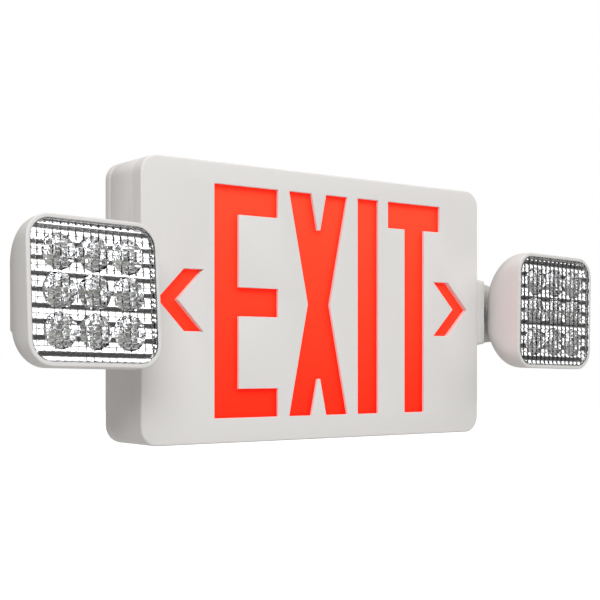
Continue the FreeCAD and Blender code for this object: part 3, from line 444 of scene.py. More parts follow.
def new_material(name: str) -> tuple[bpy.types.Material, bpy.types.Node]:
    """Makes a material and returns it with its shader."""
    material = bpy.data.materials.new(name)
    material.use_nodes = True
    return material, material.node_tree.nodes["Principled BSDF"]


def add_effect(
    material: bpy.types.Material,
    group: bpy.types.NodeTree,
    values: dict[str, object],
    relief: tuple[float, float] | None = None,
) -> bpy.types.Node:
    """Puts a shared effect in a material and wires it to the shader.

    Args:
        material: the material.
        group: the shared effect.
        values: the effect's inputs by name.
        relief: the bump's strength and its distance in metres, or None for no bump.

    Returns:
        The effect's node.
    """
    tree = material.node_tree
    shader = tree.nodes["Principled BSDF"]
    effect = tree.nodes.new("ShaderNodeGroup")
    effect.node_tree = group
    set_inputs(effect, values)
    wire(tree, (effect, "Colour", shader, "Base Color"), (effect, "Roughness", shader, "Roughness"))
    if relief:
        bump = tree.nodes.new("ShaderNodeBump")
        set_inputs(bump, {"Strength": relief[0], "Distance": relief[1]})
        wire(tree, (effect, "Height", bump, "Height"), (bump, "Normal", shader, "Normal"))
    return effect


@dataclass(frozen=True)
class MouldedFinish:
    """A moulded plastic or coated surface."""

    name: str
    colour: Colour
    cloud: Colour
    gloss: tuple[float, float] = (0.42, 0.52)
    cloud_scale: float = 14.0
    grain_scale: float = 1800.0
    bump: float = 0.12
    coat: float = 0.0
    glow: float = 0.0

    def build(self, effects: Effects) -> bpy.types.Material:
        """Makes the material."""
        material, shader = new_material(self.name)
        values = {
            "Colour": rgba(self.colour),
            "Cloud Colour": rgba(self.cloud),
            "Cloud Scale": self.cloud_scale,
            "Grain Scale": self.grain_scale,
            "Gloss Low": self.gloss[0],
            "Gloss High": self.gloss[1],
        }
        effect = add_effect(material, effects.moulded, values, (self.bump, GRAIN_DEPTH))
        shader.inputs["Coat Weight"].default_value = self.coat
        if self.glow:
            wire(material.node_tree, (effect, "Colour", shader, "Emission Color"))
            shader.inputs["Emission Strength"].default_value = self.glow
        return material


@dataclass(frozen=True)
class MetalFinish:
    """A plated or metallised surface."""

    name: str
    colour: Colour
    stain: Colour
    gloss: tuple[float, float] = (0.25, 0.4)
    streak_scale: float = 900.0
    bump: float = 0.05

    def build(self, effects: Effects) -> bpy.types.Material:
        """Makes the material."""
        material, shader = new_material(self.name)
        shader.inputs["Metallic"].default_value = 1.0
        values = {
            "Colour": rgba(self.colour),
            "Stain Colour": rgba(self.stain),
            "Streak Scale": self.streak_scale,
            "Gloss Low": self.gloss[0],
            "Gloss High": self.gloss[1],
        }
        add_effect(material, effects.brushed, values, (self.bump, STREAK_DEPTH))
        return material


@dataclass(frozen=True)
class LitPanelFinish:
    """The lit legend sheet: it glows deep red, and its colour goes from a lighter orange-red at the top to a
    deeper red at the bottom, painted light from above.
    """

    name: str
    upper: Colour
    lower: Colour
    half_height: float
    light: Colour
    glow: float
    grain_scale: float = 2600.0
    gloss: tuple[float, float] = (0.5, 0.6)
    bump: float = 0.06
    specular: float = 0.15

    def build(self, effects: Effects) -> bpy.types.Material:
        """Makes the material."""
        material, shader = new_material(self.name)
        tree = material.node_tree
        # painted light: the base colour is blended by height, lighter at the top and deeper at the bottom, as
        # if lit from above
        place = tree.nodes.new("ShaderNodeTexCoord")
        split = tree.nodes.new("ShaderNodeSeparateXYZ")
        level = tree.nodes.new("ShaderNodeMapRange")
        set_inputs(level, {"From Min": -self.half_height, "From Max": self.half_height})
        blend = tree.nodes.new("ShaderNodeMix")
        blend.data_type = "RGBA"
        set_inputs(blend, {"A": rgba(self.lower), "B": rgba(self.upper)})
        values = {"Grain Scale": self.grain_scale, "Gloss Low": self.gloss[0], "Gloss High": self.gloss[1]}
        effect = add_effect(material, effects.moulded, values, (self.bump, GRAIN_DEPTH))
        wire(
            tree,
            (place, "Object", split, "Vector"),
            (split, "Z", level, "Value"),
            (level, "Result", blend, "Factor"),
            (blend, "Result", effect, "Colour"),
            (blend, "Result", effect, "Cloud Colour"),
        )
        shader.inputs["Specular IOR Level"].default_value = self.specular
        shader.inputs["Emission Color"].default_value = rgba(self.light)
        shader.inputs["Emission Strength"].default_value = self.glow
        return material


@dataclass(frozen=True)
class ClearFinish:
    """Clear moulded plastic with a faint haze."""

    name: str
    tint: Colour
    gloss: tuple[float, float] = (0.01, 0.05)
    cloud_scale: float = 90.0
    refraction: float = 1.49

    def build(self, effects: Effects) -> bpy.types.Material:
        """Makes the material."""
        material, shader = new_material(self.name)
        values = {
            "Colour": rgba(self.tint),
            "Cloud Colour": rgba(self.tint),
            "Cloud Scale": self.cloud_scale,
            "Gloss Low": self.gloss[0],
            "Gloss High": self.gloss[1],
        }
        add_effect(material, effects.moulded, values)
        shader.inputs["Transmission Weight"].default_value = 1.0
        shader.inputs["IOR"].default_value = self.refraction
        return material


Finish = MouldedFinish | MetalFinish | LitPanelFinish | ClearFinish


class Palette:
    """All the finishes, one for each slot."""

    def __init__(self, effects: Effects) -> None:
        self.made = {slot: finish.build(effects) for slot, finish in self.finishes().items()}

    @staticmethod
    def finishes() -> dict[Slot, Finish]:
        """Each slot's finish."""
        moulded, metal = MouldedFinish, MetalFinish
        return {
            Slot.HOUSING: moulded("housing_plastic", (0.79, 0.78, 0.765), (0.765, 0.755, 0.74)),
            # painted shade: the heads' plastic is the housing's white made about 6 % darker, so the heads'
            # sides look shaded
            Slot.HEAD: moulded("head_plastic", (0.745, 0.735, 0.722), (0.72, 0.71, 0.697), (0.38, 0.48)),
            Slot.LIGHT_BOX: moulded("light_box_plastic", (0.86, 0.86, 0.85), (0.84, 0.84, 0.83), (0.3, 0.4)),
            # painted light: the legend's upper colour is lighter and oranger than its lower one, as light
            # falling from above
            Slot.LEGEND: LitPanelFinish(
                "legend_sheet", (0.85, 0.085, 0.03), (0.85, 0.028, 0.004), 0.083, (1.0, 0.004, 0.006), 0.5
            ),
            Slot.LENS: ClearFinish("clear_lens_plastic", (0.97, 0.98, 0.985)),
            Slot.REFLECTOR: metal(
                "metallised_reflector", (0.94, 0.94, 0.95), (0.92, 0.92, 0.93), (0.03, 0.07), 400.0, 0.0
            ),
            Slot.BOARD_WHITE: moulded("white_mask", (0.88, 0.88, 0.86), (0.86, 0.86, 0.84), (0.3, 0.45)),
            Slot.BOARD_GREEN: moulded(
                "green_mask", (0.02, 0.16, 0.05), (0.015, 0.12, 0.04), (0.25, 0.4), 60.0
            ),
            Slot.WHITE_LED: moulded(
                "phosphor_led", (0.88, 0.88, 0.8), (0.85, 0.85, 0.74), (0.1, 0.2), coat=1.0
            ),
            Slot.RED_LED: moulded(
                "red_led_chip", (0.8, 0.08, 0.05), (0.7, 0.06, 0.04), (0.2, 0.3), glow=0.6
            ),
            Slot.CORE: moulded("varnished_core", (0.22, 0.2, 0.17), (0.14, 0.12, 0.1), (0.3, 0.6), 120.0),
            Slot.CAN: moulded("capacitor_sleeve", (0.02, 0.03, 0.09), (0.03, 0.04, 0.12), (0.2, 0.35)),
            Slot.DARK: moulded("dark_plastic", (0.025, 0.025, 0.028), (0.04, 0.04, 0.042), (0.35, 0.5)),
            Slot.TERMINAL: moulded("terminal_plastic", (0.02, 0.2, 0.1), (0.03, 0.24, 0.12), (0.35, 0.5)),
            Slot.WRAP: moulded(
                "shrink_wrap", (0.02, 0.08, 0.3), (0.03, 0.1, 0.34), (0.15, 0.3), 40.0, coat=0.4
            ),
            Slot.ZINC: metal("zinc_plate", (0.6, 0.6, 0.59), (0.5, 0.49, 0.44)),
            Slot.LEAD: moulded("lead_insulation", (0.5, 0.015, 0.01), (0.42, 0.012, 0.01), (0.25, 0.4)),
            Slot.BUTTON: moulded("button_plastic", (0.7, 0.7, 0.68), (0.66, 0.66, 0.64), (0.2, 0.3)),
            Slot.LAMP: moulded(
                "lamp_tint", (0.5, 0.01, 0.01), (0.4, 0.008, 0.008), (0.05, 0.12), coat=1.0, glow=0.2
            ),
        }

    def dress(self, item: bpy.types.Object, slot: Slot) -> None:
        """Gives an object a slot's finish."""
        item.data.materials.clear()
        item.data.materials.append(self.made[slot])


# ---------------------------------------------------------------- workshop


class Workshop:
    """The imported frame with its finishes: adds pieces and reports them."""

    def __init__(self, frame: dict) -> None:
        self.frame = frame
        self.palette = Palette(Effects())
        self.slots = {part["node"]: Slot(part["material_slot"]) for part in frame["record"]["subparts"]}
        self.body = {node: item["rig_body"] for node, item in frame["nodes"].items()}
        self.pivots = {joint["name"]: joint.get("pos_m") for joint in frame["joints"]}

    def dress_nodes(self) -> None:
        """Gives every carried-over solid its slot's finish."""
        for node, item in self.frame["nodes"].items():
            self.palette.dress(item, self.slots[node])

    def add(self, mesh: bpy.types.Mesh, name: str, node: str, angle: float = 32.0) -> bpy.types.Object:
        """Adds a piece that stands for a solid.

        Args:
            mesh: the piece's mesh, in the frame's metres.
            name: the piece's name.
            node: the solid that it replaces, whose body and finish it takes.
            angle: the turn in degrees above which an edge is a crease.

        Returns:
            The new object.
        """
        shade(mesh, angle)
        item = as_object(name, mesh)
        self.palette.dress(item, self.slots[node])
        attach(item, self.body[node])
        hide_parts(node)
        LOG.info("%s: %d faces", name, len(mesh.polygons))
        return item

    def softened_copy(self, node: str, width: float) -> bpy.types.Mesh:
        """A copy of a solid's mesh, merged, cleared of flat edges and rounded along its sharp ones.

        Args:
            node: the solid.
            width: the rounding's width in millimetres.

        Returns:
            The new mesh.
        """
        work = bmesh.new()
        work.from_mesh(self.frame["nodes"][node].data)
        bmesh.ops.remove_doubles(work, verts=work.verts, dist=2e-6)
        flat = math.radians(0.6)
        bmesh.ops.dissolve_limit(work, angle_limit=flat, verts=work.verts, edges=work.edges, delimit=set())
        mesh = bpy.data.meshes.new(f"{node}_soft")
        work.to_mesh(mesh)
        work.free()
        item = as_object(f"{node}_work", mesh)
        bevel = item.modifiers.new("edges", "BEVEL")
        bevel.width = width * MM
        bevel.segments = 2
        bevel.limit_method = "ANGLE"
        bevel.angle_limit = math.radians(40)
        bevel.use_clamp_overlap = True
        apply_modifiers(item)
        softened = item.data
        bpy.data.objects.remove(item)
        return softened


# ---------------------------------------------------------------- housing


@dataclass
class FaceCover:
    """The stencilled face, in millimetres: its letters, arrows, rim and side walls."""

    width: float = 292.7
    height: float = 183.0
    depth: float = 47.0
    corner: float = 12.0
    edge: float = 1.2
    side_depth: float = 11.0
    wall: float = 2.5
    face_wall: float = 2.0
    recess: float = 2.0
    collar: float = 1.5
    crisp: float = 0.3
    seam_edge: float = 0.12
    rise: float = 1.0
    letter_height: float = 152.4
    letter_width: float = 50.8
    stroke: float = 19.05
    gap: float = 9.2
    start: float = -92.35
    notch: float = 25.0
    chevron_tip: float = 134.8
    chevron_width: float = 14.8
    chevron_run: float = 19.6
    chevron_rise: float = 20.0

    def letter_e(self, x: float) -> np.ndarray:
        """The outline of an E with three arms."""
        top, arm, w, s = self.letter_height / 2, self.stroke / 2, self.letter_width, self.stroke
        corners = [(0, -top), (w, -top), (w, -top + s), (s, -top + s), (s, -arm), (w, -arm)]
        corners += [(w, arm), (s, arm), (s, top - s), (w, top - s), (w, top), (0, top)]
        return np.array(corners, float) + (x, 0)

    def letter_x(self, x: float) -> np.ndarray:
        """The outline of an X whose upper and lower notches end flat."""
        top, w, s = self.letter_height / 2, self.letter_width, self.stroke
        shift = (w - s) / self.letter_height * self.notch
        low, waist = top - self.notch, (w - s) / 2
        half = [(0, -top), (s, -top), (s + shift, -low), (w - s - shift, -low)]
        half += [(w - s, -top), (w, -top), (w - waist, 0)]
        lower = np.array(half, float)
        upper = np.array([(w, 0)]) - lower
        return np.concatenate([lower, upper]) + (x, 0)

    def letter_i(self, x: float) -> np.ndarray:
        """The outline of an I."""
        top = self.letter_height / 2
        return np.array([(0, -top), (self.stroke, -top), (self.stroke, top), (0, top)]) + (x, 0)

    def letter_t(self, x: float) -> np.ndarray:
        """The outline of a T."""
        top, w, s = self.letter_height / 2, self.letter_width, self.stroke
        bar, stem = top - s, (w - s) / 2
        corners = [(stem, -top), (stem + s, -top), (stem + s, bar), (w, bar)]
        corners += [(w, top), (0, top), (0, bar), (stem, bar)]
        return np.array(corners) + (x, 0)

    def letters(self) -> list[np.ndarray]:
        """The four letters' outlines in a row."""
        outlines, x = [], self.start
        for draw, width in (
            (self.letter_e, self.letter_width),
            (self.letter_x, self.letter_width),
            (self.letter_i, self.stroke),
            (self.letter_t, self.letter_width),
        ):
            outlines.append(draw(x))
            x += width + self.gap
        return outlines

    def chevrons(self) -> list[np.ndarray]:
        """The two arrows' outlines, anticlockwise."""
        tip, tail = self.chevron_tip, self.chevron_tip - self.chevron_run
        rise, width = self.chevron_rise, self.chevron_width
        corners = [(tip, 0), (tail, rise), (tail - width, rise)]
        corners += [(tip - width, 0), (tail - width, -rise), (tail, -rise)]
        right = np.array(corners, float)
        left = (right * (-1, 1))[::-1]
        return [right, left]

    def rim(self, inset: float) -> np.ndarray:
        """The housing's outline drawn in by an inset."""
        return square_loop(self.width / 2 - inset, self.height / 2 - inset, self.corner - inset, 12, 1)

    def mesh(self) -> bpy.types.Mesh:
        """The face as one closed shell.

        A flat sheet less its openings; each opening's edge turns in as a quarter circle and
        goes straight back; the rim turns back as a quarter circle into the side wall.

        Returns:
            The mesh in metres.
        """
        face = -self.depth
        back = face + self.face_wall
        turn = np.radians(np.linspace(0, 90, 5))
        parts = []
        front_holes, back_holes = [], []
        for drawn, collar in [(o, 0.0) for o in self.letters()] + [(o, self.collar) for o in self.chevrons()]:
            outline = drawn + (0.0, self.rise)
            outlines = [grow_outline(outline, self.crisp * (1 - math.sin(t))) for t in turn]
            depths = [face + self.crisp * (1 - math.cos(t)) for t in turn]
            if collar:
                outlines += [outline, grow_outline(outline, collar), grow_outline(outline, collar)]
                depths += [back + self.recess, back + self.recess, back]
            else:
                outlines += [outline]
                depths += [back]
            front_holes.append(outlines[0])
            back_holes.append(outlines[-1])
            parts.append(swept_strip("opening", outlines, depths))
        arc = np.radians(np.linspace(0, 90, 9))
        outlines = [self.rim(self.edge * (1 - math.sin(t))) for t in arc]
        depths = [face + self.edge * (1 - math.cos(t)) for t in arc]
        seam = face + self.side_depth
        outlines += [self.rim(0), self.rim(self.seam_edge), self.rim(self.wall), self.rim(self.wall)]
        depths += [seam - self.seam_edge, seam, seam, back]
        parts.append(swept_strip("rim", outlines, depths))
        parts.append(flat_sheet("front", [outlines[0], *front_holes], face))
        parts.append(flat_sheet("rear", [outlines[-1], *back_holes], back))
        return join_meshes("face_cover", parts)


class Housing:
    """The housing's dressed pieces."""

    def __init__(self, shop: Workshop) -> None:
        self.shop = shop
        self.cover = FaceCover()

    def build(self) -> None:
        """Adds the face and the softened frame, back plate, arms and button."""
        self.shop.add(self.cover.mesh(), "face_cover", "front_cover")
        for node, width in (("housing_frame", 0.2), ("back_plate", 0.7), ("test_button", 0.4)):
            self.shop.add(self.shop.softened_copy(node, width), f"moulded_{node}", node)
        for side in Side:
            node = f"{side.word}_arm"
            self.shop.add(self.shop.softened_copy(node, 0.3), f"moulded_{node}", node)


# ---------------------------------------------------------------- lamp heads


POLE = 0.001
HEAD_MERGE = 0.002
LENS_MERGE = 0.001


@dataclass
class HeadSizes:
    """A lamp head's sizes in millimetres and its turns at rest in degrees."""

    half: float = 43.4
    band: float = 6.35
    depth: float = 49.0
    centre: float = 8.3
    wall: float = 2.5
    square: float = 0.35
    power: float = 1.7
    fullness: float = 2.1
    rim: float = 2.6
    rim_edge: float = 0.7
    lens_thick: float = 3.0
    lens_gap: float = 0.2
    lens_proud: float = 0.5
    seat: float = 0.4
    seat_edge: float = 0.3
    lens_edge: float = 0.8
    lens_edge_drop: float = 0.4
    lens_rows: int = 168
    lens_columns: int = 172
    plain_border: float = 0.25
    border_blend: float = 0.4
    relief_room: float = 1.5
    flute: float = 4.9
    flute_depth: float = 0.45
    band_pitch: float = 9.0
    band_shift: float = 1 / 6
    band_facets: int = 3
    facet_depth: float = 1.1
    shallow_facet: float = 0.05
    cup_pitch: float = 22.5
    cup_mouth: float = 10.8
    cup_base: float = 4.2
    cup_depth: float = 15.0
    cup_power: float = 1.8
    cup_rings: int = 7
    facets: int = 24
    ripple: float = 0.3
    flange: float = 1.5
    stud_radius: float = 5.0
    slot_spare: float = 1.2
    slot_start: float = 4.0
    stud_angle: float = 75.0
    swivel_limit: float = 20.0
    track_radius: float = 9.4
    track_room: float = 0.8
    track_blend: float = 3.0
    pan: float = 2.6
    roll: float = 1.2
    tilts: tuple[float, float] = (-5.5, 0.0)

    @property
    def face(self) -> float:
        """The rim's front in the head's own depth."""
        return -(self.centre + self.band)


class LampHead:
    """One lamp head: its bowl, lens and reflector, shaped about the swivel centre."""

    def __init__(self, shop: Workshop, side: Side) -> None:
        self.shop = shop
        self.side = side
        self.size = HeadSizes()
        tilt = self.size.tilts[0 if side is Side.LEFT else 1]
        turn = Matrix.Rotation(math.radians(self.size.pan), 3, "Z")
        turn = turn @ Matrix.Rotation(math.radians(self.size.roll), 3, "Y")
        turn = turn @ Matrix.Rotation(math.radians(tilt), 3, "X")
        self.turn = np.array(turn)
        self.pivot = np.array(shop.pivots[f"{side.word}_pan"])

    def placed(self, points: np.ndarray) -> np.ndarray:
        """Turns and moves points from the head's own millimetres to the frame's metres."""
        return points * MM @ self.turn.T + self.pivot

    def place_mesh(self, mesh: bpy.types.Mesh) -> bpy.types.Mesh:
        """Turns and moves a mesh made in the head's own millimetres."""
        flat = np.zeros(len(mesh.vertices) * 3)
        mesh.vertices.foreach_get("co", flat)
        mesh.vertices.foreach_set("co", self.placed(flat.reshape(-1, 3)).ravel())
        mesh.update()
        return mesh

    def build(self) -> None:
        """Adds the head's dressed pieces."""
        word = self.side.word
        self.shop.add(self.bowl(), f"{word}_bowl", f"{word}_head_shell", 38.0)
        self.shop.add(self.lens(), f"{word}_fluted_lens", f"{word}_lens", 14.0)
        self.shop.add(self.reflector(), f"{word}_cup_reflector", f"{word}_reflector", 4.0)

    def section(self, station: float, inset: float) -> tuple[float, float]:
        """The half-width and corner radius of the dome at a share of its depth.

        The half-width follows an oval a little fuller than an ellipse, with powers of 2.1, and
        the corner grows from square to round with depth: share = 0.35 + 0.65 * station ^ 1.7.
        """
        full = self.size.fullness
        half = (self.size.half - inset) * max(1 - station**full, 0.0) ** (1 / full)
        share = self.size.square + (1 - self.size.square) * station**self.size.power
        return half, half * share

    def bowl(self) -> bpy.types.Mesh:
        """The bowl as a closed wall: rim, band and dome outside, lens seat and hollow inside.

        Rows are rounded squares at rising depth; the rim's edges are quarter circles.

        Returns:
            The mesh in metres, with the stud's slot cut through.
        """
        s = self.size
        corner = s.half * s.square
        rows: list[tuple[float, float, float]] = []
        for angle in np.radians(np.linspace(90, 0, 6)):
            inset = s.rim_edge * (1 - math.cos(angle))
            rows.append((s.face + s.rim_edge * (1 - math.sin(angle)), s.half - inset, corner - inset))
        rows.append((-s.centre, s.half, corner))
        for angle in np.radians(np.linspace(0, 90, 56))[1:-1]:
            half, radius = self.section(math.sin(angle), 0.0)
            rows.append((s.depth * math.sin(angle) - s.centre, half, radius))
        rows.append((s.depth - s.centre, POLE, POLE))
        inside = [(s.depth - s.wall - s.centre, POLE, POLE)]
        for angle in np.radians(np.linspace(90, 0, 30))[1:]:
            half, radius = self.section(math.sin(angle), s.wall)
            inside.append(((s.depth - s.wall) * math.sin(angle) - s.centre, half, radius))
        floor = s.face + s.lens_thick
        inside += [(floor, s.half - inset, corner - inset) for inset in (s.rim + s.seat, s.rim)]
        for angle in np.radians(np.linspace(0, 90, 4)):
            inset = s.rim - s.seat_edge * (1 - math.cos(angle))
            inside.append((s.face + s.seat_edge * (1 - math.sin(angle)), s.half - inset, corner - inset))
        skins = [self.shell_rows(rows, True), self.shell_rows(inside), self.shell_rows([inside[-1], rows[0]])]
        mesh = join_meshes("bowl", skins, HEAD_MERGE)
        item = as_object("bowl_work", mesh)
        cutter = as_object("slot_work", self.slot_cutter())
        modifier = item.modifiers.new("slot", "BOOLEAN")
        modifier.operation = "DIFFERENCE"
        modifier.object = cutter
        modifier.solver = "EXACT"
        apply_modifiers(item)
        cut = item.data
        bpy.data.objects.remove(item)
        bpy.data.objects.remove(cutter)
        return self.place_mesh(cut)

    def drawn_in(self, points: np.ndarray) -> np.ndarray:
        """Keeps the dome clear of the swivel washer all along the washer's track.

        Within the track, points beyond a sphere about the swivel centre are drawn in to it;
        the pull fades out across a narrow border, as share^2 * (3 - 2 * share).

        Args:
            points: rows by 3, in the head's own millimetres.

        Returns:
            The points, drawn in where they have to be.
        """
        s = self.size
        reach = s.depth - s.centre
        stud = math.radians(s.stud_angle)
        middle = -self.side.sign * reach * math.cos(stud)
        swing = reach * math.sin(stud) * math.sin(math.radians(s.swivel_limit))
        off_end = np.maximum(np.abs(points[..., 2]) - swing, 0)
        away = np.hypot(points[..., 0] - middle, off_end) - s.track_radius
        share = np.clip(1 - away / s.track_blend, 0, 1) * (points[..., 1] > 0)
        radius = np.linalg.norm(points, axis=-1)
        pull = np.maximum(radius - reach - s.track_room, 0) * share**2 * (3 - 2 * share)
        return points * (1 - pull / radius)[..., None]

    def shell_rows(self, rows: Iterable[tuple[float, float, float]], track: bool = False) -> bpy.types.Mesh:
        """A skin through rounded squares given as depth, half-width and corner radius.

        Args:
            rows: each square's depth, half-width and corner radius.
            track: whether the skin is drawn in along the washer's track.

        Returns:
            The skin's mesh.
        """
        loops = []
        for y, half, radius in rows:
            loop = square_loop(half, half, min(radius, half * 0.999), 22, 9)
            loops.append(np.stack([loop[:, 0], np.full(len(loop), y), loop[:, 1]], axis=1))
        points = np.array(loops)
        return loops_to_mesh("rows", self.drawn_in(points) if track else points)

    def slot_cutter(self) -> bpy.types.Mesh:
        """A fan-shaped block that opens the bowl for the stud's swing."""
        s = self.size
        reach = s.depth - s.centre
        half_width = s.stud_radius + s.slot_spare
        spread = math.radians(s.swivel_limit) + math.asin(half_width / reach)
        middle = -self.side.sign * reach * math.cos(math.radians(s.stud_angle))
        angles = np.linspace(-spread, spread, 17)
        fan = np.stack([s.depth * np.cos(angles), s.depth * np.sin(angles)], axis=1)
        fan = np.concatenate([[[s.slot_start, 0.0]], fan])
        places = (middle - half_width, middle + half_width)
        rows = [np.stack([np.full(len(fan), x), fan[:, 0], fan[:, 1]], axis=1) for x in places]
        walls = loops_to_mesh("walls", np.array(rows))
        work = bmesh.new()
        work.from_mesh(walls)
        bmesh.ops.holes_fill(work, edges=work.edges, sides=0)
        bmesh.ops.recalc_face_normals(work, faces=work.faces)
        work.to_mesh(walls)
        work.free()
        return walls

    def lens_row_width(self, z: np.ndarray, half: float, corner: float) -> np.ndarray:
        """The lens's half-width at each height: full, then in along the corner's circle."""
        into = np.clip(np.abs(z) - (half - corner), 0, corner)
        return half - corner + np.sqrt(np.maximum(corner**2 - into**2, 0))

    def lens(self) -> bpy.types.Mesh:
        """The clear lens: a flat front, and behind it upright flutes crossed by prism bands.

        The relief of the rear side is the sum of a row of parabolas across and a saw-tooth of
        three facets in each band down, both fading out towards the plain border.

        Returns:
            The mesh in metres.
        """
        s = self.size
        half = s.half - s.rim - s.lens_gap
        corner = s.half * s.square - s.rim - s.lens_gap
        z = np.linspace(-half, half, s.lens_rows)
        share = np.linspace(-1, 1, s.lens_columns)
        width = self.lens_row_width(z, half, corner)
        x = share[None, :] * width[:, None]
        z_grid = np.repeat(z[:, None], len(share), axis=1)
        border = np.minimum(width[:, None] - np.abs(x), half - np.abs(z_grid))
        fade = np.clip((border - s.plain_border) / s.border_blend, 0, 1)
        across = x / s.flute + 0.5
        flute = 1 - (2 * (across - np.floor(across)) - 1) ** 2
        down = z_grid / s.band_pitch + s.band_shift
        phase = (down - np.floor(down)) * s.band_facets
        facet = phase - np.floor(phase)
        steep = np.where(phase < 1, s.shallow_facet, 1.0)
        relief = (s.flute_depth * flute + s.facet_depth * facet * steep) * fade
        front_y = s.face - s.lens_proud
        back_y = s.face + s.lens_thick
        round_edge = np.clip(1 - border / s.lens_edge, 0, 1)
        drop = s.lens_edge_drop * (1 - np.sqrt(1 - round_edge**2 * 0.99))  # 0.99 keeps the slope finite
        front = np.stack([x, front_y + drop, z_grid], axis=-1)
        rear_y = np.where(fade > 0, back_y - s.relief_room + relief, back_y)
        rear = np.stack([x, rear_y, z_grid], axis=-1)
        sheets = [loops_to_mesh("front", front, False), loops_to_mesh("rear", rear, False)]
        sheets.append(loops_to_mesh("edge", np.array([self.border_of(front), self.border_of(rear)])))
        return self.place_mesh(join_meshes("lens", sheets, LENS_MERGE))

    @staticmethod
    def border_of(grid: np.ndarray) -> np.ndarray:
        """The outer points of a grid, in order round it."""
        return np.concatenate([grid[0, :-1], grid[:-1, -1], grid[-1, :0:-1], grid[:0:-1, 0]])

    def reflector(self) -> bpy.types.Mesh:
        """The bright moulding: nine round cups whose mouths spread to a square grid.

        Each cell's rings go from the cup's base along a parabola to its round mouth, and then
        blend to the cell's square edge; between base and mouth the points go in and out by turns,
        which cuts the wall into small lozenges. A flat flange goes from the block to the rim.

        Returns:
            The mesh in metres.
        """
        s = self.size
        plane = s.face + s.lens_thick
        cell = s.cup_pitch / 2
        angles = np.linspace(0, 2 * math.pi, s.facets, endpoint=False)
        round_way = np.stack([np.cos(angles), np.sin(angles)], axis=1)
        square_way = round_way / np.max(np.abs(round_way), axis=1, keepdims=True)
        rings = []
        turns = np.arange(s.facets)
        for step, share in enumerate(np.linspace(0, 1, s.cup_rings)):
            ripple = s.ripple * np.where((turns + step) % 2, 1.0, -1.0) * math.sin(math.pi * share)
            radius = s.cup_base + (s.cup_mouth - s.cup_base) * share + ripple
            depth = s.cup_depth * (1 - share**s.cup_power)
            rings.append((round_way * radius[:, None], plane + depth))
        rings.append((square_way * cell, plane))
        parts = []
        for i in (-1, 0, 1):
            for k in (-1, 0, 1):
                rows = [
                    np.stack([r[:, 0] + i * s.cup_pitch, np.full(len(r), y), r[:, 1] + k * s.cup_pitch], axis=1)
                    for r, y in rings
                ]
                parts.append(loops_to_mesh("cup", np.array(rows)))
        block = cell * 3
        inset = s.rim + s.seat + s.lens_gap
        out, corner = s.half - inset, s.half * s.square - inset
        loops = [
            (square_loop(block, block, 0.01, 8, 16), plane),
            (square_loop(out, out, corner, 8, 16), plane),
            (square_loop(out, out, corner, 8, 16), plane + s.flange),
        ]
        rows = [np.stack([loop[:, 0], np.full(len(loop), y), loop[:, 1]], axis=1) for loop, y in loops]
        parts.append(loops_to_mesh("flange", np.array(rows)))
        work = bmesh.new()
        for part in parts:
            work.from_mesh(part)
            bpy.data.meshes.remove(part)
        mesh = bpy.data.meshes.new("reflector")
        work.to_mesh(mesh)
        work.free()
        return self.place_mesh(mesh)


# ---------------------------------------------------------------- studio


FLOOR_DROP = 0.5
FLOOR_HALF = 12.0
FLOOR_GREY = (0.62, 0.62, 0.62)
WHITE = (1.0, 1.0, 1.0)
ROOM_TINT = (1.0, 0.955, 0.92)


@dataclass(frozen=True)
class SoftLamp:
    """A soft rectangular light aimed at the object's middle: metres, watts and linear colour."""

    name: str
    place: tuple[float, float, float]
    size: tuple[float, float]
    power: float
    colour: Colour

    def hang(self) -> None:
        """Adds the light to the scene."""
        data = bpy.data.lights.new(self.name, "AREA")
        data.color = self.colour
        data.shape = "RECTANGLE"
        data.size, data.size_y = self.size
        data.energy = self.power
        item = bpy.data.objects.new(self.name, data)
        item.location = self.place
        item.rotation_euler = (-Vector(self.place)).to_track_quat("-Z", "Y").to_euler()
        item.visible_camera = False
        bpy.context.scene.collection.objects.link(item)


LAMPS = (
    SoftLamp("key", (-1.15, -1.7, 1.35), (1.5, 1.3), 32.0, (0.965, 0.98, 1.0)),
    SoftLamp("card", (1.4, -1.5, 1.42), (2.2, 1.2), 15.0, (1.0, 1.0, 1.0)),
    SoftLamp("top", (-0.3, -0.2, 1.8), (1.6, 1.0), 8.0, (1.0, 0.97, 0.94)),
)


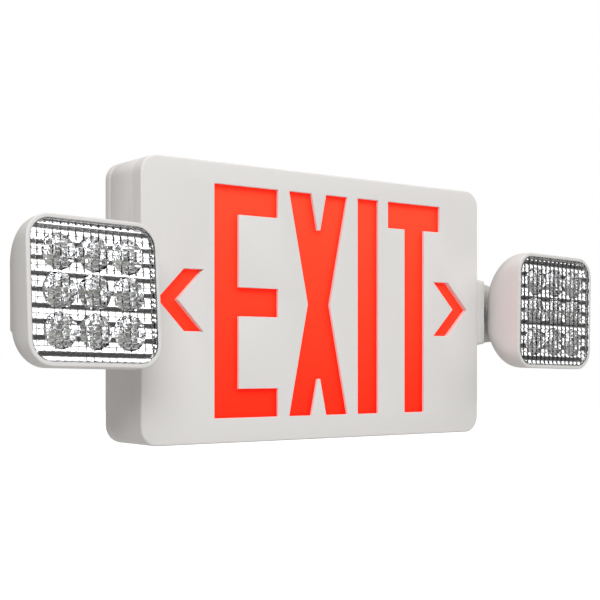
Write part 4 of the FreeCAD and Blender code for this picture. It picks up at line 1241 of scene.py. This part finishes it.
class Studio:
    """The floor, the lights and the camera."""

    def __init__(self, low: Vector) -> None:
        self.low = low

    def build(self) -> None:
        """Sets up the room."""
        self.floor()
        self.room_light()
        for lamp in LAMPS:
            lamp.hang()
        self.camera()
        bpy.context.scene.view_settings.view_transform = "Standard"

    def floor(self) -> None:
        """A wide pale floor well below the object."""
        level = self.low.z - FLOOR_DROP
        ends = (-FLOOR_HALF, FLOOR_HALF)
        points = np.array([[[x, y, level] for x in ends] for y in ends])
        item = as_object("floor", loops_to_mesh("floor", points, False))
        material, shader = new_material("pale_floor")
        set_inputs(shader, {"Base Color": rgba(FLOOR_GREY), "Roughness": 0.9, "Emission Color": rgba(WHITE)})
        tree = material.node_tree
        seen = tree.nodes.new("ShaderNodeLightPath")
        wire(tree, (seen, "Is Camera Ray", shader, "Emission Strength"))
        item.data.materials.append(material)
        item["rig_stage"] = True

    def room_light(self) -> None:
        """A pale room: white where it is seen, and softer, with a dim belt, as light."""
        world = bpy.data.worlds.new("room")
        bpy.context.scene.world = world
        world.use_nodes = True
        tree = world.node_tree
        sky = tree.nodes["Background"]
        place = tree.nodes.new("ShaderNodeTexCoord")
        split = tree.nodes.new("ShaderNodeSeparateXYZ")
        above = self.ramp(tree, (0.26, 0.44), (0.08, 0.55))
        behind = self.ramp(tree, (-0.1, 0.3), (0.0, 0.14))
        brighter = tree.nodes.new("ShaderNodeMath")
        brighter.operation = "MAXIMUM"
        seen = tree.nodes.new("ShaderNodeLightPath")
        level = tree.nodes.new("ShaderNodeMix")
        level.data_type = "FLOAT"
        set_inputs(level, {"B": 1.0})
        tint = tree.nodes.new("ShaderNodeMix")
        tint.data_type = "RGBA"
        set_inputs(tint, {"A": rgba(ROOM_TINT), "B": rgba(WHITE)})
        wire(
            tree,
            (place, "Generated", split, "Vector"),
            (split, "Z", above, "Value"),
            (split, "Y", behind, "Value"),
            (above, "Result", brighter, 0),
            (behind, "Result", brighter, 1),
            (seen, "Is Camera Ray", level, "Factor"),
            (brighter, "Value", level, "A"),
            (level, "Result", sky, "Strength"),
            (seen, "Is Camera Ray", tint, "Factor"),
            (tint, "Result", sky, "Color"),
        )

    @staticmethod
    def ramp(
        tree: bpy.types.NodeTree, span: tuple[float, float], levels: tuple[float, float]
    ) -> bpy.types.Node:
        """A smooth step from one level to another over a span."""
        node = tree.nodes.new("ShaderNodeMapRange")
        node.interpolation_type = "SMOOTHSTEP"
        low, high = levels
        set_inputs(node, {"From Min": span[0], "From Max": span[1], "To Min": low, "To Max": high})
        return node

    @staticmethod
    def camera() -> None:
        """A level camera to the left of the face and a little below its middle."""
        data = bpy.data.cameras.new("camera")
        data.lens = 72.0
        data.sensor_width = 36.0
        data.shift_y = 0.106
        item = bpy.data.objects.new("camera", data)
        item.location = (-0.5125, -0.702, -0.0396)
        item.rotation_euler = (math.radians(90.0), 0.0, math.radians(-36.75))
        bpy.context.scene.collection.objects.link(item)
        bpy.context.scene.camera = item


def main() -> None:
    """Builds the exit light's look around its solids."""
    logging.basicConfig(level=logging.INFO, format="%(name)s %(message)s")
    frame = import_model()
    solid_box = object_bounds()
    shop = Workshop(frame)
    shop.dress_nodes()
    Housing(shop).build()
    for side in Side:
        LampHead(shop, side).build()
    Studio(solid_box[0]).build()


if __name__ == "__main__":
    main()
